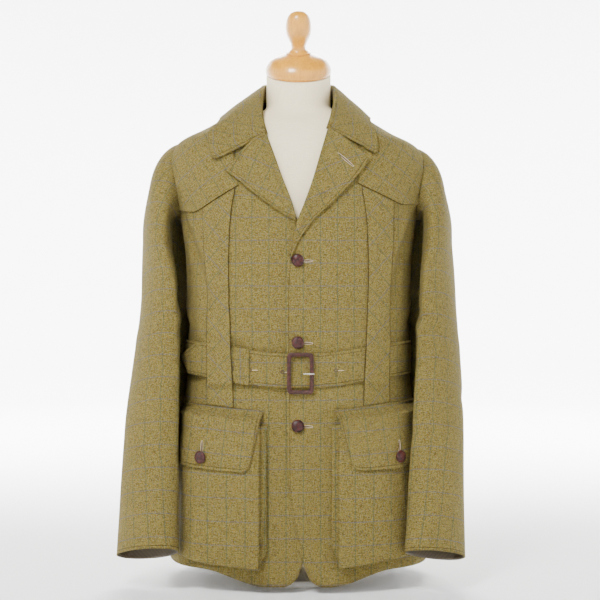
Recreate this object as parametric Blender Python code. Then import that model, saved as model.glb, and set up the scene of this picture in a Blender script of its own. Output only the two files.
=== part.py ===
"""Norfolk jacket with belt, pleat bands and bellows pockets, on a table-top dress form.

Metres, +Z up. The jacket faces -Y, and its wearer's left side is +X. Every cloth piece is a wall
whose outer face is worked out from the jacket's ring sections, so a piece that lies on another one
has the same form, moved out. In the tables "over" is the wearer's left front, which laps over the
right one, and "under" is the right front.
"""
import math
from collections import namedtuple

import bmesh
import bpy
from mathutils import Matrix, Vector

# Cloth walls and gaps
CLOTH = 0.0020
TRIM = 0.0016
SEAM = 0.0004
LIFT = 0.0010

# Body: ring sections from the hem up, with their half width and depth to the front and back
SQUARE = 0.15
Section = namedtuple("Section", "height half_width front back")
BODY = [
    Section(0.000, 0.2180, 0.1660, 0.1530),
    Section(0.100, 0.2120, 0.1630, 0.1490),
    Section(0.200, 0.2030, 0.1560, 0.1410),
    Section(0.290, 0.1930, 0.1460, 0.1300),
    Section(0.360, 0.1870, 0.1390, 0.1240),
    Section(0.440, 0.1875, 0.1400, 0.1270),
    Section(0.530, 0.1900, 0.1430, 0.1340),
    Section(0.580, 0.1960, 0.1430, 0.1360),
    Section(0.601, 0.2000, 0.1415, 0.1365),
    Section(0.630, 0.2120, 0.1380, 0.1355),
    Section(0.660, 0.2250, 0.1320, 0.1320),
    Section(0.685, 0.2290, 0.1260, 0.1270),
    Section(0.705, 0.2260, 0.1190, 0.1210),
    Section(0.720, 0.2170, 0.1125, 0.1160),
    Section(0.735, 0.2010, 0.1045, 0.1100),
    Section(0.753, 0.1620, 0.0920, 0.1010),
    Section(0.770, 0.1300, 0.0780, 0.0900),
    Section(0.788, 0.0960, 0.0620, 0.0770),
    Section(0.805, 0.0660, 0.0500, 0.0640),
    Section(0.820, 0.0600, 0.0470, 0.0600),
]

# Shoulder seam, from the neck to the shoulder tip, and the armhole round the tip
NECK_POINT = 0.805
SHOULDER_TIP = 0.735
ARMHOLE_MIDDLE = 0.668
ARMHOLE_HALF = 0.067
ARMHOLE_TURN = math.radians(26)
SIDE = math.radians(90)

# Front edges and roll lines, as distances from the centre front
Edge = namedtuple("Edge", "height over under")
EDGES = [
    Edge(0.0240, 0.0187, 0.0040),
    Edge(0.0410, 0.0065, -0.0065),
    Edge(0.0600, 0.0010, -0.0130),
    Edge(0.1000, -0.0090, -0.0190),
    Edge(0.1600, -0.0165, -0.0215),
    Edge(0.2600, -0.0185, -0.0215),
    Edge(0.4650, -0.0205, -0.0215),
    Edge(0.5320, -0.0163, -0.0175),
    Edge(0.5600, -0.0093, -0.0100),
    Edge(0.5865, -0.0024, -0.0015),
    Edge(0.6026, 0.0046, 0.0050),
    Edge(0.6170, 0.0100, 0.0108),
    Edge(0.6560, 0.0245, 0.0254),
    Edge(0.7000, 0.0365, 0.0415),
    Edge(0.7370, 0.0475, 0.0561),
    Edge(0.7545, 0.0520, 0.0625),
    Edge(0.7890, 0.0600, 0.0665),
]
LAP = 0.0500
ROLL_START = 0.5900

# Hem: its height at the front and the side, and the rounded front corner
HEM_FRONT = 0.0110
HEM_RISE = 0.0240
HEM_LEVEL = 0.0500
HEM_SPREAD = 0.1050
CORNER = 0.0230

# Lower edge of the front yokes: distance from the centre and height on each side
YokeEdge = namedtuple("YokeEdge", "across left right")
YOKE_EDGE = [
    YokeEdge(0.0500, 0.6730, 0.6750),
    YokeEdge(0.0925, 0.6540, 0.6508),
    YokeEdge(0.1584, 0.6250, 0.6125),
    YokeEdge(0.1700, 0.6210, 0.6075),
    YokeEdge(0.2000, 0.6245, 0.6140),
]
YOKE_COLUMN = 4
YOKE_END = 0.975

# Pleat bands: their edges from the centre front
Band = namedtuple("Band", "height inner outer")
BAND = [
    Band(0.290, 0.1040, 0.1480),
    Band(0.330, 0.1055, 0.1480),
    Band(0.390, 0.1085, 0.1490),
    Band(0.510, 0.1125, 0.1500),
    Band(0.575, 0.1105, 0.1550),
    Band(0.611, 0.1070, 0.1565),
    Band(0.650, 0.1020, 0.1580),
]
BAND_MIDDLE = 0.1280
BAND_TOP = 0.6120
BAND_HOLD = 0.0170

# Belt
BELT_HALF = 0.0275
BELT_LIFT = 0.0016
BELT_MIDDLE = 0.3510
BELT_RISE = 0.0200
BELT_TIP = math.radians(-76)
BELT_POINT = math.radians(8)
BELT_END = math.radians(-9)
KEEPER = (0.0790, 0.1025)

# Buckle: the frame's outer size, its bars and its prong
BUCKLE_MIDDLE = (0.0031, 0.3482)
BUCKLE_HALF = (0.0213, 0.0330)
BUCKLE_BAR = 0.0062
BUCKLE_THICK = 0.0042
BUCKLE_CORNER = 0.0075
PRONG_FROM = 0.0075
PRONG_TO = 0.0262
PRONG_HEIGHT = 0.3475
PRONG_RADIUS = 0.0011

# Lapels, from the break up to the gorge: the roll line and the outer edge
Lapel = namedtuple("Lapel", "roll_across roll_height edge_across edge_height")
LAPEL_OVER = [
    Lapel(-0.0150, 0.5330, -0.0118, 0.5310),
    Lapel(-0.0100, 0.5540, 0.0010, 0.5615),
    Lapel(-0.0024, 0.5865, 0.0210, 0.5895),
    Lapel(0.0100, 0.6170, 0.0487, 0.6163),
    Lapel(0.0227, 0.6520, 0.0800, 0.6470),
    Lapel(0.0350, 0.6930, 0.1000, 0.6720),
    Lapel(0.0500, 0.7425, 0.1140, 0.6945),
]
LAPEL_UNDER = [
    Lapel(0.0040, 0.5985, 0.0060, 0.5930),
    Lapel(0.0080, 0.6110, 0.0266, 0.6040),
    Lapel(0.0155, 0.6310, 0.0543, 0.6231),
    Lapel(0.0270, 0.6600, 0.0820, 0.6450),
    Lapel(0.0410, 0.6990, 0.1050, 0.6660),
    Lapel(0.0540, 0.7326, 0.1200, 0.6799),
]
LAPEL_ROLL = 0.0036
LAPEL_OUT = 0.0064

# Collar, from the gorge round to the centre back: the fold, the outer edge and the stand's height
Collar = namedtuple("Collar", "station fold_x fold_y fold_z turn height stand upright")
COLLAR_LEFT = [
    Collar(0.00, 0.0500, -0.1010, 0.7452, 28.5, 0.7020, 0.0055, 0.0),
    Collar(0.12, 0.0565, -0.0830, 0.7670, 32.5, 0.7100, 0.0070, 0.2),
    Collar(0.28, 0.0625, -0.0470, 0.7970, 37.0, 0.7360, 0.0100, 0.6),
    Collar(0.42, 0.0635, -0.0150, 0.8180, 56.0, 0.7640, 0.0180, 0.9),
    Collar(0.56, 0.0610, 0.0155, 0.8290, 90.0, 0.7750, 0.0230, 1.0),
    Collar(0.78, 0.0440, 0.0480, 0.8360, 135.0, 0.7820, 0.0240, 1.0),
    Collar(1.00, 0.0000, 0.0650, 0.8390, 180.0, 0.7900, 0.0240, 1.0),
]
COLLAR_RIGHT = [
    Collar(0.00, 0.0545, -0.1075, 0.7350, 31.5, 0.6900, 0.0055, 0.0),
    Collar(0.12, 0.0610, -0.0890, 0.7600, 36.0, 0.7020, 0.0070, 0.2),
    Collar(0.28, 0.0645, -0.0520, 0.7930, 43.5, 0.7360, 0.0100, 0.6),
    Collar(0.42, 0.0640, -0.0150, 0.8180, 58.0, 0.7600, 0.0180, 0.9),
    Collar(0.56, 0.0610, 0.0155, 0.8290, 90.0, 0.7720, 0.0230, 1.0),
    Collar(0.78, 0.0440, 0.0480, 0.8360, 135.0, 0.7810, 0.0240, 1.0),
    Collar(1.00, 0.0000, 0.0650, 0.8390, 180.0, 0.7900, 0.0240, 1.0),
]
FOLD = 0.0032
COLLAR_OUT = 0.0068
COLLAR_CROWN = 0.0045

# Sleeves: the middle of each ring, its half length and half thickness on both sides, the turn of
# its length out of the front-to-back line in degrees, and the slope of the ring's plane
Ring = namedtuple("Ring", "height across forward length outer inner turn slope")
SLEEVE_LEFT = [
    Ring(0.056, 0.2140, 0.1350, 0.0620, 0.0440, 0.0240, 46, 0.34),
    Ring(0.150, 0.2190, 0.1140, 0.0590, 0.0400, 0.0200, 46, 0.30),
    Ring(0.250, 0.2240, 0.0880, 0.0580, 0.0380, 0.0180, 42, 0.26),
    Ring(0.350, 0.2265, 0.0560, 0.0620, 0.0370, 0.0190, 32, 0.20),
    Ring(0.457, 0.2283, 0.0260, 0.0700, 0.0330, 0.0210, 22, 0.12),
    Ring(0.560, 0.2305, 0.0050, 0.0800, 0.0290, 0.0200, 9, 0.05),
]
SLEEVE_RIGHT = [
    Ring(0.056, 0.2400, 0.1200, 0.0620, 0.0450, 0.0360, 45, 0.34),
    Ring(0.150, 0.2390, 0.1040, 0.0620, 0.0420, 0.0260, 45, 0.30),
    Ring(0.250, 0.2360, 0.0820, 0.0600, 0.0420, 0.0200, 42, 0.26),
    Ring(0.350, 0.2310, 0.0540, 0.0640, 0.0390, 0.0200, 32, 0.20),
    Ring(0.457, 0.2275, 0.0250, 0.0720, 0.0340, 0.0220, 22, 0.12),
    Ring(0.560, 0.2345, 0.0050, 0.0800, 0.0290, 0.0210, 8, 0.05),
]
HEAD_ROWS = 5
HEAD_OUT = 0.1600
HEAD_DROP = 0.0600

# Largest soft folds of the sleeves: place round the ring, height, depth and half sizes
Fold = namedtuple("Fold", "around height depth half_turn half_height slant")
SLEEVE_FOLDS = [
    Fold(60, 0.640, 0.0040, 34, 0.034, 0.30),
    Fold(78, 0.560, 0.0034, 38, 0.034, 0.25),
    Fold(120, 0.455, 0.0040, 44, 0.036, -0.20),
    Fold(275, 0.470, 0.0034, 46, 0.038, 0.20),
]

# Pockets and flaps: inner edges and heights on each side, from the centre front
Pocket = namedtuple("Pocket", "side inner outer top bottom bottom_rise")
POCKETS = {
    "left": Pocket(1, 0.0625, 0.1870, 0.266, 0.0430, 0.0170),
    "right": Pocket(-1, 0.0600, 0.1850, 0.264, 0.0390, 0.0160),
}
Stand = namedtuple("Stand", "along left right")
STANDS = [
    Stand(0.00, 0.0220, 0.0220),
    Stand(0.30, 0.0220, 0.0245),
    Stand(0.60, 0.0190, 0.0280),
    Stand(0.82, 0.0140, 0.0200),
    Stand(1.00, 0.0080, 0.0080),
]
Flap = namedtuple("Flap", "side top_inner low_inner outer top top_rise bottom bottom_rise")
FLAPS = {
    "left": Flap(1, 0.0568, 0.0800, 0.1880, 0.2917, 0.0100, 0.1930, 0.0060),
    "right": Flap(-1, 0.0560, 0.0715, 0.1860, 0.2898, 0.0070, 0.1905, 0.0100),
}
FLAP_CORNER = 0.0140
FLAP_LIFT = 0.0024
FLAP_OVER = 0.0034
POCKET_LIFT = 0.0009
POCKET_MOUTH = 0.62

# Buttons
BUTTON_RADIUS = 0.0100
BUTTON_THICK = 0.0065
FRONT_BUTTONS = {"button_top": 0.5283, "button_middle": 0.3969, "button_bottom": 0.2644}
BUTTON_ACROSS = -0.0010
BUTTON_RISE = 0.0170
PocketButton = namedtuple("PocketButton", "share proud")
POCKET_BUTTONS = {"left": PocketButton(0.555, 0.0013), "right": PocketButton(0.510, 0.0022)}

# Dress form: torso and neck sections inside the jacket, stem and base
FORM_WALL_GAP = 0.0034
FORM = [
    Section(0.200, 0.1600, 0.1150, 0.1130),
    Section(0.300, 0.1560, 0.1130, 0.1110),
    Section(0.390, 0.1440, 0.1030, 0.1020),
    Section(0.480, 0.1550, 0.1130, 0.1110),
    Section(0.580, 0.1760, 0.1270, 0.1240),
    Section(0.640, 0.1900, 0.1240, 0.1240),
]
NECK_RADIUS = 0.0543
NECK_START = 0.8050
NECK_TOP = 0.8480
CAP_TILT = math.radians(24)
Turned = namedtuple("Turned", "radius height")
CAP = [
    Turned(0.0535, 0.0000),
    Turned(0.0550, 0.0020),
    Turned(0.0550, 0.0062),
    Turned(0.0530, 0.0085),
    Turned(0.0470, 0.0150),
    Turned(0.0370, 0.0205),
    Turned(0.0240, 0.0245),
    Turned(0.0150, 0.0258),
]
FINIAL = [
    Turned(0.0190, 0.0000),
    Turned(0.0222, 0.0025),
    Turned(0.0218, 0.0055),
    Turned(0.0175, 0.0080),
    Turned(0.0118, 0.0115),
    Turned(0.0128, 0.0165),
    Turned(0.0170, 0.0250),
    Turned(0.0205, 0.0360),
    Turned(0.0213, 0.0470),
    Turned(0.0200, 0.0600),
    Turned(0.0155, 0.0710),
    Turned(0.0085, 0.0790),
    Turned(0.0030, 0.0818),
]
BASE = [
    Turned(0.1130, 0.0000),
    Turned(0.1150, 0.0020),
    Turned(0.1150, 0.0080),
    Turned(0.1100, 0.0110),
    Turned(0.0300, 0.0160),
    Turned(0.0200, 0.0240),
]
STEM_RADIUS = 0.0125

# Grids of the larger pieces: columns and rows
FRONT_GRID = (12, 22)
BACK_GRID = (20, 20)
EDGE_SHARE = 0.84
SEAM_SHARE = 0.66
ROW_BUNCH = 0.16
SLEEVE_GRID = (16, 15)
ROUND = 24


class Curve:
    """Smooth curve through a column of a table, which keeps between its rows."""

    def __init__(self, table, key, column):
        self.keys = [getattr(row, key) for row in table]
        self.values = [getattr(row, column) for row in table]
        spans = list(zip(self.keys, self.keys[1:], self.values, self.values[1:]))
        rates = [(v1 - v0) / (k1 - k0) for k0, k1, v0, v1 in spans]
        self.slopes = [rates[0]]
        for before, after in zip(rates, rates[1:]):
            together = before * after > 0
            self.slopes.append(2 * before * after / (before + after) if together else 0.0)
        self.slopes.append(rates[-1])

    def __call__(self, key):
        key = min(max(key, self.keys[0]), self.keys[-1])
        last = len(self.keys) - 2
        row = next((n for n in range(last) if key <= self.keys[n + 1]), last)
        span = self.keys[row + 1] - self.keys[row]
        t = (key - self.keys[row]) / span
        start = (1 + 2 * t) * (1 - t) ** 2 * self.values[row] + t * (1 - t) ** 2 * span * self.slopes[row]
        end = t * t * (3 - 2 * t) * self.values[row + 1] + t * t * (t - 1) * span * self.slopes[row + 1]
        return start + end


def curves(table, key):
    """Curves through every other column of a table, by name."""
    return {name: Curve(table, key, name) for name in table[0]._fields if name != key}


BODY_AT = curves(BODY, "height")
EDGE_AT = curves(EDGES, "height")
BAND_AT = curves(BAND, "height")
STAND_AT = curves(STANDS, "along")
FORM_AT = curves(FORM, "height")


def ease(value, start, end):
    """0 up to start and 1 from end on, with a smooth rise between them."""
    t = min(max((value - start) / (end - start), 0.0), 1.0)
    return t * t * (3 - 2 * t)


def straight(table, key, column, value):
    """Value of a table's column by straight lines between its rows."""
    for low, high in zip(table, table[1:]):
        if value <= getattr(high, key) or high is table[-1]:
            share = (value - getattr(low, key)) / (getattr(high, key) - getattr(low, key))
            return getattr(low, column) + share * (getattr(high, column) - getattr(low, column))


def ring(turn, height):
    """Point of the jacket's outer face, at a turn from the centre front towards +X."""
    c, s = math.cos(turn), math.sin(turn)
    depth = BODY_AT["front"](height) if c > 0 else BODY_AT["back"](height)
    x = BODY_AT["half_width"](height) * s * (1 + SQUARE * c * c)
    return Vector((x, -depth * c * (1 + SQUARE * s * s), height))


def outward(turn, height):
    """Unit vector out of the jacket's outer face."""
    step = 0.001
    around = ring(turn + step, height) - ring(turn - step, height)
    upward = ring(turn, height + step) - ring(turn, height - step)
    return around.cross(upward).normalized()


def body(turn, height, out=0.0):
    """Point at a distance out of the jacket's outer face."""
    return ring(turn, height) + outward(turn, height) * out


def turn_at(across, height):
    """Turn of the front's point at a distance from the centre front."""
    low, high = -SIDE, SIDE
    for _ in range(30):
        middle = (low + high) / 2
        low, high = (middle, high) if ring(middle, height).x < across else (low, middle)
    return (low + high) / 2


def seen(across, height, out=0.0):
    """Turn, height and distance out of the point that is seen from the front at across, height."""
    aim = across
    for _ in range(3):
        aim += across - body(turn_at(aim, height), height, out).x
    return turn_at(aim, height), height, out


def front(across, height, out=0.0):
    """Point out of the front's outer face that is seen from the front at across, height."""
    return body(*seen(across, height, out))


def armhole(around, inset=0.0):
    """Turn and height of the armhole seam, from the shoulder tip towards the front."""
    turn = SIDE - (ARMHOLE_TURN - inset / 0.15) * math.sin(around)
    return turn, ARMHOLE_MIDDLE + (ARMHOLE_HALF - inset) * math.cos(around)


def hem(across):
    """Height of the front's hem at a distance from the centre front."""
    return HEM_FRONT + HEM_RISE * ease(across, HEM_LEVEL, HEM_LEVEL + HEM_SPREAD)


def belt_height(turn):
    """Height of the belt's middle line, which rises from the buckle to the sides."""
    return BELT_MIDDLE + BELT_RISE * ease(abs(math.sin(turn)) if math.cos(turn) > 0 else 1, 0, 1)


def paint(name, colour, roughness, metallic=0.0):
    """Plain material for a piece."""
    material = bpy.data.materials.new(name)
    material.use_nodes = True
    shader = material.node_tree.nodes["Principled BSDF"]
    shader.inputs["Base Color"].default_value = (*colour, 1)
    shader.inputs["Roughness"].default_value = roughness
    shader.inputs["Metallic"].default_value = metallic
    return material


def add(name, mesh, colour, smooth=True):
    """Turn a bmesh into a named object with a material of its own."""
    data = bpy.data.meshes.new(name)
    mesh.to_mesh(data)
    mesh.free()
    if smooth:
        data.shade_smooth()
        data.set_sharp_from_angle(angle=math.radians(40))
    piece = bpy.data.objects.new(name, data)
    bpy.context.scene.collection.objects.link(piece)
    data.materials.append(paint(name, *colour))
    return piece


def mirror(mesh, side):
    """Turn a piece that was made for +X into one for the other side."""
    if side < 0:
        bmesh.ops.scale(mesh, vec=(-1, 1, 1), verts=mesh.verts)
        bmesh.ops.reverse_faces(mesh, faces=mesh.faces)


def cloth(name, grid, place, wall=CLOTH, side=1):
    """A cloth wall on the body: place(s, t) gives its outer face's turn, height and distance out."""
    mesh = bmesh.new()
    bmesh.ops.create_grid(mesh, x_segments=grid[0], y_segments=grid[1], size=0.5)
    outer = bmesh.ops.extrude_face_region(mesh, geom=mesh.faces[:], use_keep_orig=True)
    for vertex in outer["geom"]:
        if isinstance(vertex, bmesh.types.BMVert):
            vertex.co.z = 1
    bmesh.ops.recalc_face_normals(mesh, faces=mesh.faces)
    for vertex in mesh.verts:
        turn, height, out = place(vertex.co.x + 0.5, vertex.co.y + 0.5)
        vertex.co = body(turn, height, out - wall * (1 - vertex.co.z))
    bmesh.ops.remove_doubles(mesh, verts=mesh.verts, dist=1e-5)
    mirror(mesh, side)
    return add(name, mesh, TWEED)


def shell(name, grid, place, wall=CLOTH, side=1):
    """A free cloth wall: place(s, t) gives points of its outer face, and it thickens inward."""
    mesh = bmesh.new()
    bmesh.ops.create_grid(mesh, x_segments=grid[0], y_segments=grid[1], size=0.5)
    for vertex in mesh.verts:
        vertex.co = place(vertex.co.x + 0.5, vertex.co.y + 0.5)
    bmesh.ops.remove_doubles(mesh, verts=mesh.verts, dist=1e-6)
    mirror(mesh, side)
    piece = add(name, mesh, TWEED)
    solidify = piece.modifiers.new("wall", "SOLIDIFY")
    solidify.thickness = wall
    solidify.offset = -1
    return piece


TWEED = ((0.300, 0.215, 0.072), 0.90)
LEATHER = ((0.075, 0.018, 0.014), 0.40)
LINEN = ((0.800, 0.740, 0.610), 0.85)
BEECH = ((0.560, 0.250, 0.060), 0.30)
ENAMEL = ((0.800, 0.800, 0.780), 0.40)
STEEL = ((0.620, 0.590, 0.540), 0.35, 1.0)


def front_domain(column):
    """A function from a front's grid, s out from its edge and t up, to turn and height."""
    low, high = EDGES[0].height, EDGES[-1].height
    corner = EDGE_AT[column](low)

    def inner(t):
        if t < EDGE_SHARE:
            height = low + (high - low) * t / EDGE_SHARE
            return turn_at(EDGE_AT[column](height), height), height
        share = (t - EDGE_SHARE) / (1 - EDGE_SHARE)
        start = turn_at(EDGE_AT[column](high), high)
        return start + (SIDE - start) * share, high + (NECK_POINT - high) * math.sin(share * SIDE)

    def outer(t):
        bottom, under_arm = hem(1), armhole(math.pi)[1]
        if t < SEAM_SHARE:
            return SIDE, bottom + (under_arm - bottom) * t / SEAM_SHARE
        return armhole(math.pi * (1 - (t - SEAM_SHARE) / (1 - SEAM_SHARE)))

    def domain(s, t):
        turn_in, height_in = inner(t)
        turn_out, height_out = outer(t)
        turn = turn_in + (turn_out - turn_in) * s
        height = height_in + (height_out - height_in) * s
        along = ring(turn, height).x - corner
        drop = hem(corner + along) + (low - HEM_FRONT) * max(1 - along / CORNER, 0) ** 2
        return turn, height + (drop - (low + (hem(1) - low) * s)) * (1 - t) ** 6

    return domain


def front_rows(share):
    """Place of a front's row, closer together towards the shoulder seam."""
    return share + ROW_BUNCH * math.sin(math.pi * share) * share


def front_panel(name, side, column):
    """A front, from the hem to the shoulder, with its edge, roll line, neckline and armhole."""
    domain = front_domain(column)

    def place(s, t):
        turn, height = domain(s * (1 - SEAM / 0.25), front_rows(t))
        turn = min(turn, SIDE - SEAM / 0.12)
        if side > 0:
            return turn, height, 0.0
        sink = (CLOTH + LIFT) * (1 - ease(ring(turn, height).x, LAP * 0.4, LAP))
        return turn, height, -sink * (1 - ease(height, ROLL_START, ROLL_START + 0.03))

    return cloth(name, FRONT_GRID, place, side=side)


def back_panel():
    """The back, from one side seam round to the other, with armholes and neckline."""
    shoulder_share = 0.30
    gap = SEAM / 0.12

    def upper(s):
        if s > 0.5:
            turn, height = upper(1 - s)
            return 2 * math.pi - turn, height
        if s < shoulder_share:
            return SIDE + gap, SHOULDER_TIP + (NECK_POINT - SHOULDER_TIP) * s / shoulder_share
        share = (s - shoulder_share) / (1 - 2 * shoulder_share)
        return SIDE + gap + (math.pi - 2 * gap) * share, NECK_POINT

    def side_line(t):
        bottom, under_arm = hem(1), armhole(math.pi)[1]
        if t < SEAM_SHARE:
            return SIDE + gap, bottom + (under_arm - bottom) * t / SEAM_SHARE
        turn, height = armhole(math.pi * (1 + (t - SEAM_SHARE) / (1 - SEAM_SHARE)))
        return turn + gap, height

    def place(s, t):
        t = front_rows(t)
        turn, height = side_line(t)
        start = turn
        turn = turn * (1 - s) + (2 * math.pi - turn) * s
        top_turn, top_height = upper(s)
        bend = t ** 6
        turn += bend * (top_turn - SIDE - math.pi * s)
        turn = min(max(turn, min(start, SIDE + gap)), 2 * math.pi - min(start, SIDE + gap))
        return turn, height + bend * (top_height - SHOULDER_TIP), 0.0

    return cloth("back", BACK_GRID, place)


def yoke(name, side, column):
    """A front yoke, on the front's own rows above its pointed lower edge."""
    domain = front_domain("over" if side > 0 else "under")
    rows = [front_rows(n / FRONT_GRID[1]) for n in range(FRONT_GRID[1] + 1)]
    columns = [n / FRONT_GRID[0] for n in range(YOKE_COLUMN, FRONT_GRID[0] + 1)]
    columns[-1] = YOKE_END
    feet = []
    for s in columns:
        low, high = 0.5, 1.0
        for _ in range(24):
            middle = (low + high) / 2
            turn, height = domain(s, middle)
            above = height > straight(YOKE_EDGE, "across", column, ring(turn, height).x)
            low, high = (low, middle) if above else (middle, high)
        feet.append(high)
    first = max(n for n, row in enumerate(rows) if row < min(feet))
    rows = rows[first:]

    def place(s, t):
        number = round(s * (len(columns) - 1))
        row = rows[round(t * (len(rows) - 1))]
        turn, height = domain(columns[number], max(row, feet[number]))
        return min(turn, SIDE - SEAM / 0.12), height, LIFT + TRIM

    return cloth(name, (len(columns) - 1, len(rows) - 1), place, TRIM, side)


def flap_top(flap, across):
    """Height of a flap's sewn edge at a distance from the centre front."""
    return flap.top + flap.top_rise * ease(across, flap.top_inner, 0.185)


def band(name, side, column, layers):
    """A pleat band, from under the yoke over the belt to the flap."""
    flat = LIFT + TRIM
    raised = layers * (BELT_LIFT + CLOTH) + LIFT + TRIM
    flap = FLAPS[column]
    middle = belt_height(turn_at(BAND_MIDDLE, BELT_MIDDLE))
    ramp = (BELT_HALF + 0.0075, BELT_HALF + 0.0190)
    stops = [flap.top, flap.top + BAND_HOLD, middle - ramp[1], middle - ramp[0]]
    stops += [middle + ramp[0], middle + ramp[1]]
    stops += [stops[-1] + (BAND_TOP - stops[-1]) * n / 7 for n in range(1, 8)]

    def place(s, t):
        row = round(t * len(stops))
        height = stops[min(row, len(stops) - 1)]
        across = BAND_AT["inner"](height) * (1 - s) + BAND_AT["outer"](height) * s
        if row == 0:
            height = flap_top(flap, across) + 2 * SEAM
        elif row == len(stops):
            across = BAND_AT["inner"](BAND[-1].height) * (1 - s) + BAND_AT["outer"](BAND_TOP) * s
            height = straight(YOKE_EDGE, "across", column, across) - 2 * SEAM
        away = abs(height - middle)
        return seen(across, height, raised + (flat - raised) * ease(away, *ramp))

    return cloth(name, (4, len(stops)), place, TRIM, side)


def belt_piece(name, start, finish, columns, layer, pointed=False):
    """A stretch of the belt between two turns, on the body or over another stretch."""

    def place(s, t):
        turn = start + (finish - start) * s
        middle = belt_height(turn)
        half = BELT_HALF
        if pointed:
            half *= min(0.12 + 0.88 * (turn - start) / BELT_POINT, 1)
        return turn, middle + half * (2 * t - 1), layer(turn)

    return cloth(name, (columns, 3), place)


def belt():
    """The belt: the front stretch with its pointed tail, the back and the end under the tail."""
    gap = SEAM / 0.2
    low = BELT_LIFT + CLOTH

    def tail(turn):
        return low + low * (1 - ease(turn, BELT_END, BELT_END + 0.14))

    belt_piece("belt_front", BELT_TIP, SIDE - gap, 36, tail, pointed=True)
    belt_piece("belt_back", SIDE + gap, 3 * SIDE - gap, 32, lambda turn: low)
    belt_piece("belt_end", -SIDE + gap, BELT_END, 20, lambda turn: low)


def keeper():
    """The loop over the tail, whose ends turn in to the front above and below the belt."""
    proud = 2 * (BELT_LIFT + CLOTH) + LIFT + TRIM
    half = BELT_HALF + BELT_LIFT
    levels = [
        (-half - TRIM, LIFT),
        (-half - TRIM, proud * 0.6),
        (-half, proud),
        (0.0, proud + 0.0002),
        (half, proud),
        (half + TRIM, proud * 0.6),
        (half + TRIM, LIFT),
    ]

    def place(s, t):
        drop, out = levels[round(t * (len(levels) - 1))]
        across = -KEEPER[1] + (KEEPER[1] - KEEPER[0]) * s
        return front(across, belt_height(turn_at(across, BELT_MIDDLE)) + drop, out)

    return shell("belt_keeper", (2, len(levels) - 1), place, TRIM)


def rounded(half, corner, steps=4):
    """Points of a rectangle with rounded corners, round its middle."""
    points = []
    for quarter in range(4):
        angle = SIDE * quarter
        sign = (1 if quarter in (0, 3) else -1, 1 if quarter < 2 else -1)
        for step in range(steps + 1):
            a = angle + SIDE * step / steps
            x = sign[0] * (half[0] - corner) + corner * math.cos(a)
            z = sign[1] * (half[1] - corner) + corner * math.sin(a)
            points.append((x, z))
    return points


def buckle():
    """The leather covered frame and its prong, which lies over the frame's bar."""
    back = front(0.0, BUCKLE_MIDDLE[1], 2 * (BELT_LIFT + CLOTH)).y - SEAM
    outer = rounded(BUCKLE_HALF, BUCKLE_CORNER)
    inner = rounded([half - BUCKLE_BAR for half in BUCKLE_HALF], BUCKLE_CORNER - 0.0040)
    swell = BUCKLE_BAR * 0.25
    rows = [(0.0, 0.0), (0.0, 0.55), (swell, 1.0), (BUCKLE_BAR - swell, 1.0)]
    rows += [(BUCKLE_BAR, 0.55), (BUCKLE_BAR, 0.0)]
    mesh = bmesh.new()
    rings = []
    for inset, rise in rows:
        share = inset / BUCKLE_BAR
        points = [(a[0] * (1 - share) + b[0] * share, a[1] * (1 - share) + b[1] * share)
                  for a, b in zip(outer, inner)]
        y = back - BUCKLE_THICK * rise
        rings.append([mesh.verts.new((BUCKLE_MIDDLE[0] + x, y, BUCKLE_MIDDLE[1] + z))
                      for x, z in points])
    count = len(outer)
    for one, two in zip(rings, rings[1:] + rings[:1]):
        for n in range(count):
            mesh.faces.new((one[n], one[(n + 1) % count], two[(n + 1) % count], two[n]))
    bmesh.ops.recalc_face_normals(mesh, faces=mesh.faces)
    add("buckle", mesh, LEATHER)

    over = back - BUCKLE_THICK - PRONG_RADIUS - SEAM
    start = back - PRONG_RADIUS
    slope = (over - start) / 4
    path = [(PRONG_FROM, start), (PRONG_FROM + 0.0030, start)]
    path += [(PRONG_FROM + 0.0030 + 0.0023 * n, start + slope * n) for n in (1, 2, 3, 4)]
    rod("buckle_prong", [*path, (PRONG_TO, over)], PRONG_RADIUS)


def rod(name, path, radius, sides=8):
    """A round rod along a path of across and depth, at the prong's height."""
    mesh = bmesh.new()
    rings = []
    for n, (x, y) in enumerate(path):
        before, after = Vector(path[max(n - 1, 0)]), Vector(path[min(n + 1, len(path) - 1)])
        along = (after - before).normalized()
        spots = []
        for step in range(sides):
            reach, rise = radius * math.cos(4 * SIDE * step / sides), radius * math.sin(4 * SIDE * step / sides)
            spots.append(mesh.verts.new((x - along.y * reach, y + along.x * reach, PRONG_HEIGHT + rise)))
        rings.append(spots)
    for one, two in zip(rings, rings[1:]):
        for n in range(sides):
            mesh.faces.new((one[n], one[(n + 1) % sides], two[(n + 1) % sides], two[n]))
    mesh.faces.new(rings[0])
    mesh.faces.new(rings[-1])
    bmesh.ops.recalc_face_normals(mesh, faces=mesh.faces)
    add(name, mesh, STEEL)


def lapel(name, side, table):
    """A lapel, from the roll line over the front to its outer edge."""
    rows = 2 * (len(table) - 1)
    spread = [0.0, 0.08, 0.25, 0.45, 0.70, 1.0]
    columns = len(spread) - 1

    def place(s, t):
        number = min(int(t * (len(table) - 1) + 1e-6), len(table) - 2)
        along = t * (len(table) - 1) - number
        row = Lapel(*(a + (b - a) * along for a, b in zip(table[number], table[number + 1])))
        share = spread[round(s * columns)]
        across = row.roll_across + (row.edge_across - row.roll_across) * share
        height = row.roll_height + (row.edge_height - row.roll_height) * share
        wide = ease(row.edge_across - row.roll_across, 0.0, 0.04)
        out = LAPEL_ROLL + (LAPEL_OUT - LAPEL_ROLL) * wide * ease(share, 0.0, 0.30)
        return seen(across, height, out)

    return cloth(name, (columns, rows), place, side=side)


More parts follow.
